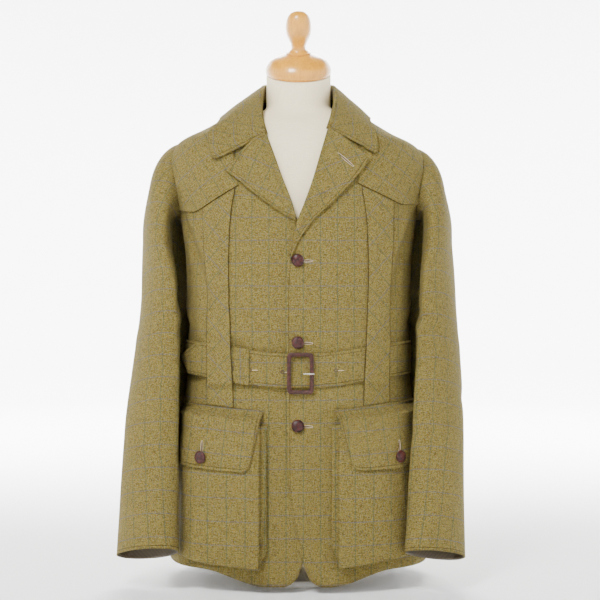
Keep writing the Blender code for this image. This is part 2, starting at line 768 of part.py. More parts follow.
def collar_point(station, row):
    """Point of the collar's outer face at a station from -1, right gorge, to 1, left gorge."""
    side = 1 if station >= 0 else -1
    at = COLLAR_LEFT_AT if side > 0 else COLLAR_RIGHT_AT
    place = 1 - abs(station)
    fold = Vector((at["fold_x"](place), at["fold_y"](place), at["fold_z"](place)))
    turn, height = math.radians(at["turn"](place)), at["height"](place)
    edge = body(turn, height, COLLAR_OUT)
    lean = outward(turn_at(min(fold.x, 0.06), min(fold.z, 0.77)), min(fold.z, 0.77))
    up = lean.lerp(Vector((0, 0, 1)), at["upright"](place)).normalized()
    over = edge - fold
    over = (over - up * over.dot(up)).normalized()
    stand = at["stand"](place)
    bend = fold - up * FOLD + over * FOLD
    spots = [
        fold - up * stand - over * FOLD * 0.9,
        fold - up * (stand * 0.5 + FOLD * 0.5) - over * FOLD,
        fold - up * FOLD * 0.8 - over * FOLD,
        fold,
        bend + up * FOLD * 0.2,
    ]
    crown = (up + outward(turn, height)).normalized() * COLLAR_CROWN
    for share in (0.30, 0.65, 1.0):
        spots.append(bend.lerp(edge, share) + crown * 4 * share * (1 - share) * 0.8)
    point = spots[row]
    return Vector((side * point.x, point.y, point.z))


COLLAR_LEFT_AT = curves(COLLAR_LEFT, "station")
COLLAR_RIGHT_AT = curves(COLLAR_RIGHT, "station")


def collar():
    """The collar in one piece: the stand round the neck, the fold and the fall."""

    def place(s, t):
        return collar_point(2 * s - 1, 7 - round(t * 7))

    return shell("collar", (26, 7), place, CLOTH)


def sleeve(name, side, table):
    """A sleeve: a tube from the armhole seam over the head down to the cuff."""
    at = curves(table, "height")
    top = table[-1].height
    bottom = table[0].height

    def tube(around, height):
        angle = math.radians(at["turn"](height))
        c, s = math.cos(around), math.sin(around)
        thick = at["outer"](height) if c > 0 else at["inner"](height)
        reach, across = at["length"](height) * s, thick * c
        for fold in SLEEVE_FOLDS:
            away = (math.degrees(around) - fold.around + 180) % 360 - 180
            level = height + fold.slant * math.radians(away) * 0.06
            dent = math.exp(-(away / fold.half_turn) ** 2 - ((level - fold.height) / fold.half_height) ** 2)
            reach -= fold.depth * dent * s
            across -= fold.depth * dent * c
        x = at["across"](height) - math.sin(angle) * reach + math.cos(angle) * across
        forward = at["forward"](height) + math.cos(angle) * reach + math.sin(angle) * across
        return Vector((x, -forward, height + at["slope"](height) * (forward - at["forward"](height))))

    def place(s, t):
        around = 2 * math.pi * (1 - s)
        row = round((1 - t) * SLEEVE_GRID[1])
        if row > HEAD_ROWS:
            share = (row - HEAD_ROWS) / (SLEEVE_GRID[1] - HEAD_ROWS)
            return tube(around, top + (bottom - top) * share)
        u = row / HEAD_ROWS
        start, end = body(*armhole(around, 0.0009)), tube(around, top)
        c, s = math.cos(around), math.sin(around)
        leave = Vector((HEAD_OUT * max(c, 0) + 0.045, -0.05 * s, -HEAD_DROP * (0.35 + 0.65 * abs(s)) * (1 + c) / 1.3))
        arrive = (tube(around, top - 0.001) - tube(around, top + 0.001)) * 55
        return (
            start * (1 + 2 * u) * (1 - u) ** 2
            + leave * u * (1 - u) ** 2
            + end * u * u * (3 - 2 * u)
            + arrive * u * u * (u - 1)
        )

    return shell(name, SLEEVE_GRID, place, side=side)


def stand_off(column, along, height):
    """How far a pocket's face stands off the front."""
    pocket = POCKETS[column]
    swell = POCKET_MOUTH + (1 - POCKET_MOUTH) * ease(pocket.top - height, 0.0, 0.09)
    return STAND_AT[column](along) * swell


def pocket_turn(column, share, height):
    """Turn of a pocket's point, from its inner edge to its outer one."""
    pocket = POCKETS[column]
    start = turn_at(pocket.inner, height)
    return start + (turn_at(pocket.outer, height) - start) * share


def pocket_bag(name, column):
    """A bellows pocket: its face with a gusset on both sides and below, open above."""
    pocket = POCKETS[column]
    columns, rows = 10, 8

    def place(s, t):
        number, row = round(s * columns), round(t * rows)
        share = min(max(number - 1, 0) / (columns - 2), 1.0)
        low = pocket.bottom + pocket.bottom_rise * share
        height = low + (pocket.top - low) * max(row - 1, 0) / (rows - 1)
        gusset = 0.0 if row == 0 or number in (0, columns) else 1.0
        turn = pocket_turn(column, share, height)
        return body(turn, height, POCKET_LIFT + stand_off(column, share, height) * gusset)

    return shell(name, (columns, rows), place, side=pocket.side)


def flap_piece(name, column):
    """A pocket flap, sewn along its top and lying over the pocket."""
    flap = FLAPS[column]
    levels = [0.0, 0.08, 0.20, 0.36, 0.56, 0.78, 0.92, 1.0]
    shares = [0.0, 0.04, 0.11, 0.22, 0.34, 0.46, 0.58, 0.70, 0.82, 0.92, 1.0]

    def place(s, t):
        drop = levels[round((1 - t) * (len(levels) - 1))]
        share = shares[round(s * (len(shares) - 1))]
        start, end = turn_at(flap.top_inner, flap.top), turn_at(flap.outer, flap.top)
        top = flap_top(flap, ring(start + (end - start) * share, flap.top).x)
        low = flap.bottom + flap.bottom_rise * share
        low += FLAP_CORNER * (1 - math.sqrt(1 - (1 - min(share / 0.11, 1.0)) ** 2))
        height = top + (low - top) * drop
        start = turn_at(flap.top_inner + (flap.low_inner - flap.top_inner) * drop, height)
        turn = start + (turn_at(flap.outer, height) - start) * share
        start, end = pocket_turn(column, 0, height), pocket_turn(column, 1, height)
        along = (turn - start) / (end - start)
        depth = stand_off(column, min(max(along, 0), 1), min(height, POCKETS[column].top))
        return turn, height, FLAP_LIFT + (depth + FLAP_OVER) * ease(drop, 0.0, 0.20)

    return cloth(name, (len(shares) - 1, len(levels) - 1), place, TRIM, flap.side)


def turned(name, profile, colour, base=(0, 0, 0), tilt=0.0):
    """A turned piece: a profile spun about its axis, closed below and above."""
    mesh = bmesh.new()
    points = [Turned(0.0, profile[0].height), *profile, Turned(0.0, profile[-1].height)]
    line = [mesh.verts.new((row.radius, 0, row.height)) for row in points]
    edges = [mesh.edges.new(pair) for pair in zip(line, line[1:])]
    bmesh.ops.spin(mesh, geom=line + edges, cent=(0, 0, 0), axis=(0, 0, 1), dvec=(0, 0, 0),
                   angle=2 * math.pi, steps=ROUND, use_merge=True, use_duplicate=False)
    bmesh.ops.remove_doubles(mesh, verts=mesh.verts, dist=1e-6)
    bmesh.ops.recalc_face_normals(mesh, faces=mesh.faces)
    move = Matrix.Translation(base) @ Matrix.Rotation(tilt, 4, "X")
    bmesh.ops.transform(mesh, matrix=move, verts=mesh.verts)
    return add(name, mesh, colour)


def button(name, spot, normal):
    """A domed leather button, just off the cloth."""
    mesh = bmesh.new()
    rows = [(0.45, 0.0), (0.92, 0.18), (1.0, 0.42), (0.86, 0.76), (0.48, 0.97)]
    profile = [Turned(BUTTON_RADIUS * r, BUTTON_THICK * h) for r, h in rows]
    points = [Turned(0.0, profile[0].height), *profile, Turned(0.0, BUTTON_THICK)]
    line = [mesh.verts.new((row.radius, 0, row.height)) for row in points]
    edges = [mesh.edges.new(pair) for pair in zip(line, line[1:])]
    bmesh.ops.spin(mesh, geom=line + edges, cent=(0, 0, 0), axis=(0, 0, 1), dvec=(0, 0, 0),
                   angle=2 * math.pi, steps=14, use_merge=True, use_duplicate=False)
    bmesh.ops.remove_doubles(mesh, verts=mesh.verts, dist=1e-6)
    bmesh.ops.recalc_face_normals(mesh, faces=mesh.faces)
    facing = normal.to_track_quat("Z", "Y").to_matrix().to_4x4()
    bmesh.ops.transform(mesh, matrix=Matrix.Translation(spot + normal * SEAM) @ facing, verts=mesh.verts)
    return add(name, mesh, LEATHER)


def buttons():
    """Three front buttons on the over front, and one on each flap."""
    for name, height in FRONT_BUTTONS.items():
        turn = turn_at(BUTTON_ACROSS, height)
        button(name, body(turn, height), outward(turn, height))
    for column, (share, proud) in POCKET_BUTTONS.items():
        flap, side = FLAPS[column], FLAPS[column].side
        height = flap.bottom + flap.bottom_rise * share + BUTTON_RISE
        spots = []
        for along in (share - 0.05, share + 0.05):
            out = FLAP_LIFT + FLAP_OVER + stand_off(column, along, height)
            spots.append(body(pocket_turn(column, along, height), height, out))
        spot = (spots[0] + spots[1]) / 2
        normal = (spots[1] - spots[0]).cross(Vector((0, 0, 1))).normalized()
        spot.x, normal.x = side * spot.x, side * normal.x
        button("pocket_button_" + column, spot + normal * proud, normal)


def form():
    """The dress form: torso and neck in one, neck cap, finial, stem and base."""
    rise = [0.200, 0.215, 0.260, 0.330, 0.400, 0.470, 0.540, 0.600, 0.640, 0.675, 0.700, 0.718]
    rise += [0.732, 0.746, 0.760, 0.773, 0.784, 0.794, 0.804, 0.815, 0.830, 0.848]
    last = len(rise) - 1
    columns = 28

    def place(s, t):
        turn = 2 * math.pi * s
        row = round(t * last)
        height = rise[row]
        c, sn = math.cos(turn), math.sin(turn)
        if height > NECK_START:
            tilt = ease(height, NECK_START, NECK_TOP)
            y = -NECK_RADIUS * c
            return Vector((NECK_RADIUS * sn, y, height + y * math.tan(CAP_TILT) * tilt))
        if height <= FORM[-1].height:
            half, ahead, behind = [FORM_AT[name](height) for name in ("half_width", "front", "back")]
            if row == 0:
                half, ahead, behind = (size - 0.012 for size in (half, ahead, behind))
            depth = ahead if c > 0 else behind
            x = half * sn * (1 + SQUARE * c * c)
            return Vector((x, -depth * c * (1 + SQUARE * sn * sn), height))
        inset = CLOTH + FORM_WALL_GAP + 0.0060 * (1 - ease(height, 0.66, 0.735))
        neck = Vector((NECK_RADIUS * sn, -NECK_RADIUS * c, height))
        inside = body(turn, height, -inset)
        inside.x *= 1 - 0.12 * ease(abs(sn), 0.6, 1) * (1 - ease(height, 0.66, 0.735))
        return inside.lerp(neck, ease(height, 0.762, 0.792))

    mesh = bmesh.new()
    bmesh.ops.create_grid(mesh, x_segments=columns, y_segments=last, size=0.5)
    for vertex in mesh.verts:
        vertex.co = place(vertex.co.x + 0.5, vertex.co.y + 0.5)
    bmesh.ops.remove_doubles(mesh, verts=mesh.verts, dist=1e-6)
    bmesh.ops.holes_fill(mesh, edges=[edge for edge in mesh.edges if edge.is_boundary], sides=0)
    bmesh.ops.recalc_face_normals(mesh, faces=mesh.faces)
    add("form_torso", mesh, LINEN)

    axis = Vector((0, -math.sin(CAP_TILT), math.cos(CAP_TILT)))
    foot = Vector((0, 0, NECK_TOP))
    turned("neck_cap", CAP, BEECH, foot + axis * SEAM, CAP_TILT)
    turned("finial", FINIAL, BEECH, foot + axis * (CAP[-1].height + 2 * SEAM), CAP_TILT)
    turned("base", BASE, ENAMEL)
    stem = [Turned(STEM_RADIUS, BASE[-1].height + SEAM), Turned(STEM_RADIUS, rise[0] - SEAM)]
    turned("stem", stem, STEEL)


def rest_on_origin():
    """Move every piece so that the whole box's bottom centre is the origin."""
    bpy.context.view_layer.update()
    corners = []
    for piece in bpy.context.scene.objects:
        corners += [piece.matrix_world @ Vector(corner) for corner in piece.bound_box]
    middle = [(min(c[n] for c in corners) + max(c[n] for c in corners)) / 2 for n in (0, 1)]
    for piece in bpy.context.scene.objects:
        piece.location -= Vector((middle[0], middle[1], 0))


def main():
    """Build the jacket, then the form that it stands on."""
    for thing in list(bpy.data.objects):
        bpy.data.objects.remove(thing, do_unlink=True)
    front_panel("front_left", 1, "over")
    front_panel("front_right", -1, "under")
    back_panel()
    for name, side in (("left", 1), ("right", -1)):
        yoke("yoke_" + name, side, name)
        band("band_" + name, side, name, layers=1 if side > 0 else 2)
        sleeve("sleeve_" + name, side, SLEEVE_LEFT if side > 0 else SLEEVE_RIGHT)
        pocket_bag("pocket_" + name, name)
        flap_piece("flap_" + name, name)
    lapel("lapel_left", 1, LAPEL_OVER)
    lapel("lapel_right", -1, LAPEL_UNDER)
    collar()
    belt()
    keeper()
    buckle()
    buttons()
    form()
    rest_on_origin()


main()
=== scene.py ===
"""Dressed model of a norfolk jacket that stands on a limbless dress form.

The cloth is worked out from the same ring sections as the solids, in finer grids, with soft
creases. Turns are round the body from the centre front, in radians, and heights are in metres.
"""
from __future__ import annotations

import logging
import math
from dataclasses import dataclass, field
from enum import Enum
from typing import Any, Callable, NamedTuple

import bmesh
import bpy
import numpy as np
from mathutils import Matrix, Vector

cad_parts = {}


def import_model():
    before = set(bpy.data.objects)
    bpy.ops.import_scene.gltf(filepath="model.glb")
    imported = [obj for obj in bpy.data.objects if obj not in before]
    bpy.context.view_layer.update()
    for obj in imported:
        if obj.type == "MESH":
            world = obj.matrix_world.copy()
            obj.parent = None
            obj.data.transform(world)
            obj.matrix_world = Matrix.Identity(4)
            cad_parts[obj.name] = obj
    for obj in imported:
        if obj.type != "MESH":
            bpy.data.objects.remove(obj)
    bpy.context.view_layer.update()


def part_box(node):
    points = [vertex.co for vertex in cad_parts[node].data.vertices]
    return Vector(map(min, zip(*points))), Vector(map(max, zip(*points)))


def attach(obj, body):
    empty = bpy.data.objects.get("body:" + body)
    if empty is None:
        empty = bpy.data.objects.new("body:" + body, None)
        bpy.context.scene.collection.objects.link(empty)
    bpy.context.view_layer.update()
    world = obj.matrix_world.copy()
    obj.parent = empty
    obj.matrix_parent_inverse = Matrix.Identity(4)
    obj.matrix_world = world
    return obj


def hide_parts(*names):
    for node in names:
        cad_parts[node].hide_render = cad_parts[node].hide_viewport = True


Array = np.ndarray
Place = Callable[[Array, Array], Array]
Where = Callable[[Array, Array], tuple]
LOG = logging.getLogger("norfolk_jacket")

# Walls of the body's cloth and of the trim, the gap at a seam, and the lift of one layer over another.
CLOTH = 0.0020
TRIM = 0.0016
SEAM = 0.0004
LIFT = 0.0010
SEAM_TURN = SEAM / 0.12
# How square the body's rings are, and the turn of a side seam.
SQUARE = 0.15
SIDE = math.radians(90)


class Curve:
    """Smooth curve through the values of a table, which keeps between its rows."""

    def __init__(self, keys: Array, values: Array) -> None:
        """Work out the slope at each row.

        Args:
            keys: Rising keys of the rows.
            values: Value at each key.
        """
        self.keys, self.values = np.asarray(keys, float), np.asarray(values, float)
        rates = np.diff(self.values) / np.diff(self.keys)
        before, after = rates[:-1], rates[1:]
        together = before * after > 0
        inner = np.where(together, 2 * before * after / np.where(together, before + after, 1), 0)
        self.slopes = np.concatenate(([rates[0]], inner, [rates[-1]]))

    def __call__(self, key: Array) -> Array:
        """Value at each key, held level past the ends.

        Args:
            key: Keys to look up.

        Returns:
            The values there.
        """
        key = np.clip(key, self.keys[0], self.keys[-1])
        row = np.clip(np.searchsorted(self.keys, key) - 1, 0, len(self.keys) - 2)
        span = self.keys[row + 1] - self.keys[row]
        t = (key - self.keys[row]) / span
        start = (1 + 2 * t) * (1 - t) ** 2 * self.values[row] + t * (1 - t) ** 2 * span * self.slopes[row]
        end = t * t * (3 - 2 * t) * self.values[row + 1] + t * t * (t - 1) * span * self.slopes[row + 1]
        return start + end


def curves(names: str, rows: tuple) -> dict[str, Curve]:
    """Curves through every column of a table, by name, over its first column.

    Args:
        names: Names of the columns, with the key first.
        rows: Rows of numbers.

    Returns:
        A curve for each column but the first.
    """
    columns = list(zip(*rows))
    return {name: Curve(columns[0], column) for name, column in zip(names.split()[1:], columns[1:])}


# The body's rings by height: half width, and depth before and behind the middle.
BODY = curves("height half_width front back", (
    (0.000, 0.2180, 0.1660, 0.1530), (0.100, 0.2120, 0.1630, 0.1490), (0.200, 0.2030, 0.1560, 0.1410),
    (0.290, 0.1930, 0.1460, 0.1300), (0.360, 0.1870, 0.1390, 0.1240), (0.440, 0.1875, 0.1400, 0.1270),
    (0.530, 0.1900, 0.1430, 0.1340), (0.580, 0.1960, 0.1430, 0.1360), (0.601, 0.2000, 0.1415, 0.1365),
    (0.630, 0.2120, 0.1380, 0.1355), (0.660, 0.2250, 0.1320, 0.1320), (0.685, 0.2290, 0.1260, 0.1270),
    (0.705, 0.2260, 0.1190, 0.1210), (0.720, 0.2170, 0.1125, 0.1160), (0.735, 0.2010, 0.1045, 0.1100),
    (0.753, 0.1620, 0.0920, 0.1010), (0.770, 0.1300, 0.0780, 0.0900), (0.788, 0.0960, 0.0620, 0.0770),
    (0.805, 0.0660, 0.0500, 0.0640), (0.820, 0.0600, 0.0470, 0.0600),
))
# Heights of the neck point and the shoulder tip; the armhole's middle, half height and half turn.
NECK_POINT = 0.805
SHOULDER_TIP = 0.735
ARMHOLE_MIDDLE = 0.668
ARMHOLE_HALF = 0.067
ARMHOLE_TURN = math.radians(26)

# The front edges by height, as distances from the middle towards each front's own side.
EDGE_LOW, EDGE_HIGH = 0.0240, 0.7890
EDGES = curves("height over under", (
    (0.0240, 0.0168, 0.0022), (0.0410, 0.0050, -0.0088), (0.0600, 0.0002, -0.0145), (0.1000, -0.0090, -0.0190),
    (0.1600, -0.0165, -0.0215), (0.2600, -0.0185, -0.0215), (0.4650, -0.0205, -0.0215), (0.5320, -0.0163, -0.0175),
    (0.5600, -0.0093, -0.0100), (0.5865, -0.0024, -0.0015), (0.6026, 0.0046, 0.0050), (0.6170, 0.0100, 0.0108),
    (0.6560, 0.0245, 0.0254), (0.7000, 0.0365, 0.0415), (0.7370, 0.0475, 0.0561), (0.7545, 0.0520, 0.0625),
    (0.7890, 0.0600, 0.0665),
))
# Shares up a front where its edge and its side seam end, the width of the lap, and the roll's lowest height.
EDGE_SHARE = 0.84
SEAM_SHARE = 0.66
LAP = 0.0500
ROLL_START = 0.5900
# The front hem: its height, its rise, where that starts and how far it takes, and the round of the corner.
HEM_FRONT, HEM_RISE, HEM_LEVEL, HEM_SPREAD = 0.0110, 0.0240, 0.0500, 0.1050
CORNER = 0.0230

# Heights of the yokes' lower edges at places across, and the shares of the front that they cover.
YOKE_ACROSS = (0.0500, 0.0925, 0.1584, 0.1700, 0.2000)
YOKE_EDGE = {1: (0.6730, 0.6540, 0.6250, 0.6210, 0.6245), -1: (0.6750, 0.6508, 0.6125, 0.6075, 0.6140)}
YOKE_START, YOKE_END = 0.22, 0.975

# The pleat bands' edges across, by height, and their middle.
BAND = curves("height inner outer", (
    (0.290, 0.1040, 0.1480), (0.330, 0.1055, 0.1480), (0.390, 0.1085, 0.1490), (0.510, 0.1125, 0.1500),
    (0.575, 0.1105, 0.1550), (0.611, 0.1070, 0.1565), (0.650, 0.1020, 0.1580),
))
BAND_MIDDLE = 0.1280

# The belt: half width, lift, middle height and rise to the sides; turns of the tail, its point and the under end.
BELT_HALF = 0.0275
BELT_LIFT = 0.0016
BELT_MIDDLE = 0.3510
BELT_RISE = 0.0200
BELT_TIP, BELT_POINT, BELT_END = math.radians(-76), math.radians(22), math.radians(-9)

# The lapels from the bottom up: place and height of the roll line, then of the edge.
LAPELS = {
    1: ((-0.0150, 0.5330, -0.0118, 0.5310), (-0.0100, 0.5540, 0.0010, 0.5615), (-0.0024, 0.5865, 0.0210, 0.5895),
        (0.0100, 0.6170, 0.0487, 0.6163), (0.0227, 0.6520, 0.0800, 0.6470), (0.0350, 0.6930, 0.1000, 0.6720),
        (0.0500, 0.7425, 0.1140, 0.6945)),
    -1: ((0.0040, 0.5985, 0.0060, 0.5930), (0.0080, 0.6110, 0.0266, 0.6040), (0.0155, 0.6310, 0.0543, 0.6231),
         (0.0270, 0.6600, 0.0820, 0.6450), (0.0410, 0.6990, 0.1050, 0.6642), (0.0540, 0.7326, 0.1165, 0.6712)),
}
# The collar from its front ends to the middle of the back: the fold, then where the edge lies on the body.
COLLAR_NAMES = "station fold_x fold_y fold_z turn height stand upright"
COLLARS = {
    1: curves(COLLAR_NAMES, (
        (0.00, 0.0500, -0.1010, 0.7452, 27.6, 0.6965, 0.0055, 0.0),
        (0.12, 0.0565, -0.0830, 0.7670, 30.2, 0.7065, 0.0070, 0.2),
        (0.28, 0.0625, -0.0470, 0.7970, 35.2, 0.7360, 0.0100, 0.6),
        (0.42, 0.0635, -0.0150, 0.8180, 56.0, 0.7640, 0.0180, 0.9),
        (0.56, 0.0610, 0.0155, 0.8290, 90.0, 0.7750, 0.0230, 1.0),
        (0.78, 0.0440, 0.0480, 0.8360, 135.0, 0.7820, 0.0240, 1.0),
        (1.00, 0.0000, 0.0650, 0.8390, 180.0, 0.7900, 0.0240, 1.0))),
    -1: curves(COLLAR_NAMES, (
        (0.00, 0.0545, -0.1075, 0.7350, 30.6, 0.6795, 0.0055, 0.0),
        (0.12, 0.0610, -0.0890, 0.7600, 33.0, 0.6935, 0.0070, 0.2),
        (0.28, 0.0645, -0.0520, 0.7930, 40.8, 0.7310, 0.0100, 0.6),
        (0.42, 0.0640, -0.0150, 0.8180, 58.0, 0.7600, 0.0180, 0.9),
        (0.56, 0.0610, 0.0155, 0.8290, 90.0, 0.7720, 0.0230, 1.0),
        (0.78, 0.0440, 0.0480, 0.8360, 135.0, 0.7810, 0.0240, 1.0),
        (1.00, 0.0000, 0.0650, 0.8390, 180.0, 0.7900, 0.0240, 1.0))),
}
# The collar's fold, its distance out of the body and its crown.
FOLD = 0.0032
COLLAR_OUT = 0.0068
COLLAR_CROWN = 0.0036

# The sleeves by height: middle, half length fore and aft, half widths out and in, turn in degrees, slope.
SLEEVE_NAMES = "height across forward length outer inner turn slope"
SLEEVES = {
    1: curves(SLEEVE_NAMES, (
        (0.056, 0.2140, 0.1350, 0.0620, 0.0440, 0.0240, 46, 0.34),
        (0.150, 0.2190, 0.1140, 0.0590, 0.0400, 0.0200, 46, 0.30),
        (0.250, 0.2240, 0.0880, 0.0580, 0.0380, 0.0180, 42, 0.26),
        (0.350, 0.2265, 0.0560, 0.0620, 0.0370, 0.0190, 32, 0.20),
        (0.457, 0.2283, 0.0260, 0.0700, 0.0330, 0.0210, 22, 0.12),
        (0.560, 0.2305, 0.0050, 0.0800, 0.0290, 0.0200, 9, 0.05))),
    -1: curves(SLEEVE_NAMES, (
        (0.056, 0.2400, 0.1200, 0.0620, 0.0450, 0.0360, 45, 0.34),
        (0.150, 0.2390, 0.1040, 0.0620, 0.0420, 0.0260, 45, 0.30),
        (0.250, 0.2360, 0.0820, 0.0600, 0.0420, 0.0200, 42, 0.26),
        (0.350, 0.2310, 0.0540, 0.0640, 0.0390, 0.0200, 32, 0.20),
        (0.457, 0.2275, 0.0250, 0.0720, 0.0340, 0.0220, 22, 0.12),
        (0.560, 0.2345, 0.0050, 0.0800, 0.0290, 0.0210, 8, 0.05))),
}
SLEEVE_TOP, SLEEVE_LOW = 0.560, 0.056
# The sleeve's head: its share of the length, and how far it leaves the armhole outward and down.
HEAD_SHARE = 5 / 15
HEAD_OUT = 0.1600
HEAD_DROP = 0.0600


class Fold(NamedTuple):
    """A soft trough in a sleeve: place round it in degrees, height, depth and half sizes."""

    around: float
    height: float
    depth: float
    half_turn: float
    half_height: float
    slant: float


SLEEVE_FOLDS = (
    Fold(60, 0.640, 0.0040, 34, 0.034, 0.30), Fold(78, 0.560, 0.0034, 38, 0.034, 0.25),
    Fold(120, 0.455, 0.0040, 44, 0.036, -0.20), Fold(275, 0.470, 0.0034, 46, 0.038, 0.20),
)
FINE_FOLDS = {
    1: (Fold(70, 0.612, 0.0030, 40, 0.010, 0.55), Fold(95, 0.590, -0.0028, 46, 0.011, 0.45),
        Fold(60, 0.520, 0.0028, 42, 0.011, 0.35), Fold(110, 0.430, 0.0034, 48, 0.012, -0.30),
        Fold(100, 0.405, -0.0030, 44, 0.011, -0.35), Fold(60, 0.375, 0.0026, 50, 0.013, 0.30),
        Fold(250, 0.440, 0.0032, 46, 0.012, 0.35), Fold(265, 0.410, -0.0026, 44, 0.012, 0.30),
        Fold(280, 0.560, 0.0028, 40, 0.014, -0.40), Fold(200, 0.350, 0.0022, 50, 0.014, 0.30),
        Fold(80, 0.250, 0.0020, 52, 0.014, 0.25), Fold(300, 0.300, 0.0022, 44, 0.014, -0.25)),
    -1: (Fold(64, 0.618, 0.0032, 42, 0.011, 0.50), Fold(88, 0.584, -0.0030, 46, 0.011, 0.50),
         Fold(150, 0.470, 0.0036, 44, 0.018, -0.30), Fold(165, 0.440, -0.0030, 42, 0.018, -0.30),
         Fold(175, 0.300, 0.0036, 44, 0.014, 0.25), Fold(95, 0.395, 0.0030, 48, 0.012, -0.35),
         Fold(70, 0.350, -0.0024, 48, 0.012, 0.35), Fold(255, 0.455, 0.0032, 46, 0.012, 0.35),
         Fold(270, 0.420, -0.0026, 44, 0.012, 0.30), Fold(285, 0.570, 0.0028, 40, 0.014, -0.40),
         Fold(200, 0.250, 0.0022, 50, 0.014, 0.30), Fold(60, 0.220, 0.0020, 52, 0.014, 0.25)),
}


class PocketCut(NamedTuple):
    """A bellows pocket's edges, from the centre front."""

    inner: float
    outer: float
    top: float
    bottom: float
    bottom_rise: float


class FlapCut(NamedTuple):
    """A flap's edges, from the centre front."""

    top_inner: float
    low_inner: float
    outer: float
    top: float
    top_rise: float
    bottom: float
    bottom_rise: float


POCKETS = {1: PocketCut(0.0625, 0.1870, 0.266, 0.0430, 0.0170), -1: PocketCut(0.0600, 0.1850, 0.264, 0.0390, 0.0160)}
FLAPS = {1: FlapCut(0.0568, 0.0800, 0.1880, 0.2917, 0.0100, 0.1930, 0.0060),
         -1: FlapCut(0.0560, 0.0715, 0.1860, 0.2898, 0.0070, 0.1905, 0.0100)}
# How far the pockets stand off the front, from the inner edge to the outer one.
STANDS = {1: Curve((0, 0.30, 0.60, 0.82, 1), (0.0220, 0.0220, 0.0190, 0.0140, 0.0080)),
          -1: Curve((0, 0.30, 0.60, 0.82, 1), (0.0220, 0.0245, 0.0280, 0.0200, 0.0080))}
POCKET_MOUTH = 0.62
FLAP_LIFT = 0.0024
FLAP_OVER = 0.0034
FLAP_CORNER = 0.0140
FLAP_RISE_END = 0.185

# The torso's sections by height, then the neck's radius and heights, and the tilt of the cap.
FORM = curves("height half_width front back", (
    (0.200, 0.1600, 0.1150, 0.1130), (0.300, 0.1560, 0.1130, 0.1110), (0.390, 0.1440, 0.1030, 0.1020),
    (0.480, 0.1550, 0.1130, 0.1110), (0.580, 0.1760, 0.1270, 0.1240), (0.640, 0.1900, 0.1240, 0.1240),
))
NECK_RADIUS, NECK_START, NECK_TOP = 0.0543, 0.8050, 0.8480
CAP_TILT = math.radians(24)


class Crease(NamedTuple):
    """A soft crease in the body's cloth: turn in degrees, height, depth, half length, half width, angle."""

    turn: float
    height: float
    depth: float
    length: float
    width: float
    angle: float


CREASES = (
    Crease(62, 0.560, 0.0026, 0.070, 0.014, 58), Crease(54, 0.500, 0.0018, 0.080, 0.016, 70),
    Crease(-60, 0.555, 0.0026, 0.070, 0.014, -60), Crease(-50, 0.490, 0.0018, 0.080, 0.016, -68),
    Crease(18, 0.440, 0.0012, 0.060, 0.013, 25), Crease(-22, 0.420, 0.0012, 0.060, 0.013, -20),
    Crease(84, 0.430, 0.0024, 0.075, 0.015, 20), Crease(-86, 0.425, 0.0024, 0.075, 0.015, -18),
    Crease(120, 0.470, 0.0028, 0.090, 0.017, 62), Crease(236, 0.460, 0.0028, 0.090, 0.017, -60),
    Crease(150, 0.600, 0.0022, 0.080, 0.016, 40), Crease(212, 0.595, 0.0022, 0.080, 0.016, -42),
    Crease(165, 0.410, 0.0022, 0.070, 0.014, 10), Crease(196, 0.420, 0.0020, 0.070, 0.014, -8),
    Crease(110, 0.200, 0.0034, 0.130, 0.022, 86), Crease(140, 0.190, 0.0030, 0.130, 0.024, 93),
    Crease(172, 0.210, 0.0032, 0.140, 0.024, 88), Crease(206, 0.195, 0.0032, 0.130, 0.024, 92),
    Crease(240, 0.200, 0.0034, 0.130, 0.022, 94), Crease(8, 0.175, 0.0014, 0.080, 0.018, 88),
)
# Radius that turns a crease's distance round the body into metres.
REACH = 0.19


def ease(value: Array, start: float, end: float) -> Array:
    """0 up to start and 1 from end on, with a smooth rise between them."""
    t = np.clip((value - start) / (end - start), 0.0, 1.0)
    return t * t * (3 - 2 * t)


def wrapped(turn: Array) -> Array:
    """Turn brought to between minus and plus half a turn."""
    return (turn + math.pi) % (2 * math.pi) - math.pi


def ring(turn: Array, height: Array) -> Array:
    """Points of the jacket's plain outer face.

    Args:
        turn: Turns round the body from the centre front, in radians.
        height: Heights in metres.

    Returns:
        Points on the body's rings.
    """
    turn, height = np.broadcast_arrays(np.asarray(turn, float), np.asarray(height, float))
    c, s = np.cos(turn), np.sin(turn)
    depth = np.where(c > 0, BODY["front"](height), BODY["back"](height))
    x = BODY["half_width"](height) * s * (1 + SQUARE * c * c)
    return np.stack([x, -depth * c * (1 + SQUARE * s * s), height], -1)


def unit(vectors: Array) -> Array:
    """Vectors brought to length 1."""
    return vectors / np.maximum(np.linalg.norm(vectors, axis=-1, keepdims=True), 1e-12)


def outward(turn: Array, height: Array) -> Array:
    """Unit vectors out of the jacket's plain outer face.

    Args:
        turn: Turns round the body from the centre front, in radians.
        height: Heights in metres.

    Returns:
        Unit vectors that point out of the body.
    """
    step = 0.001
    around = ring(turn + step, height) - ring(turn - step, height)
    upward = ring(turn, height + step) - ring(turn, height - step)
    return unit(np.cross(around, upward))


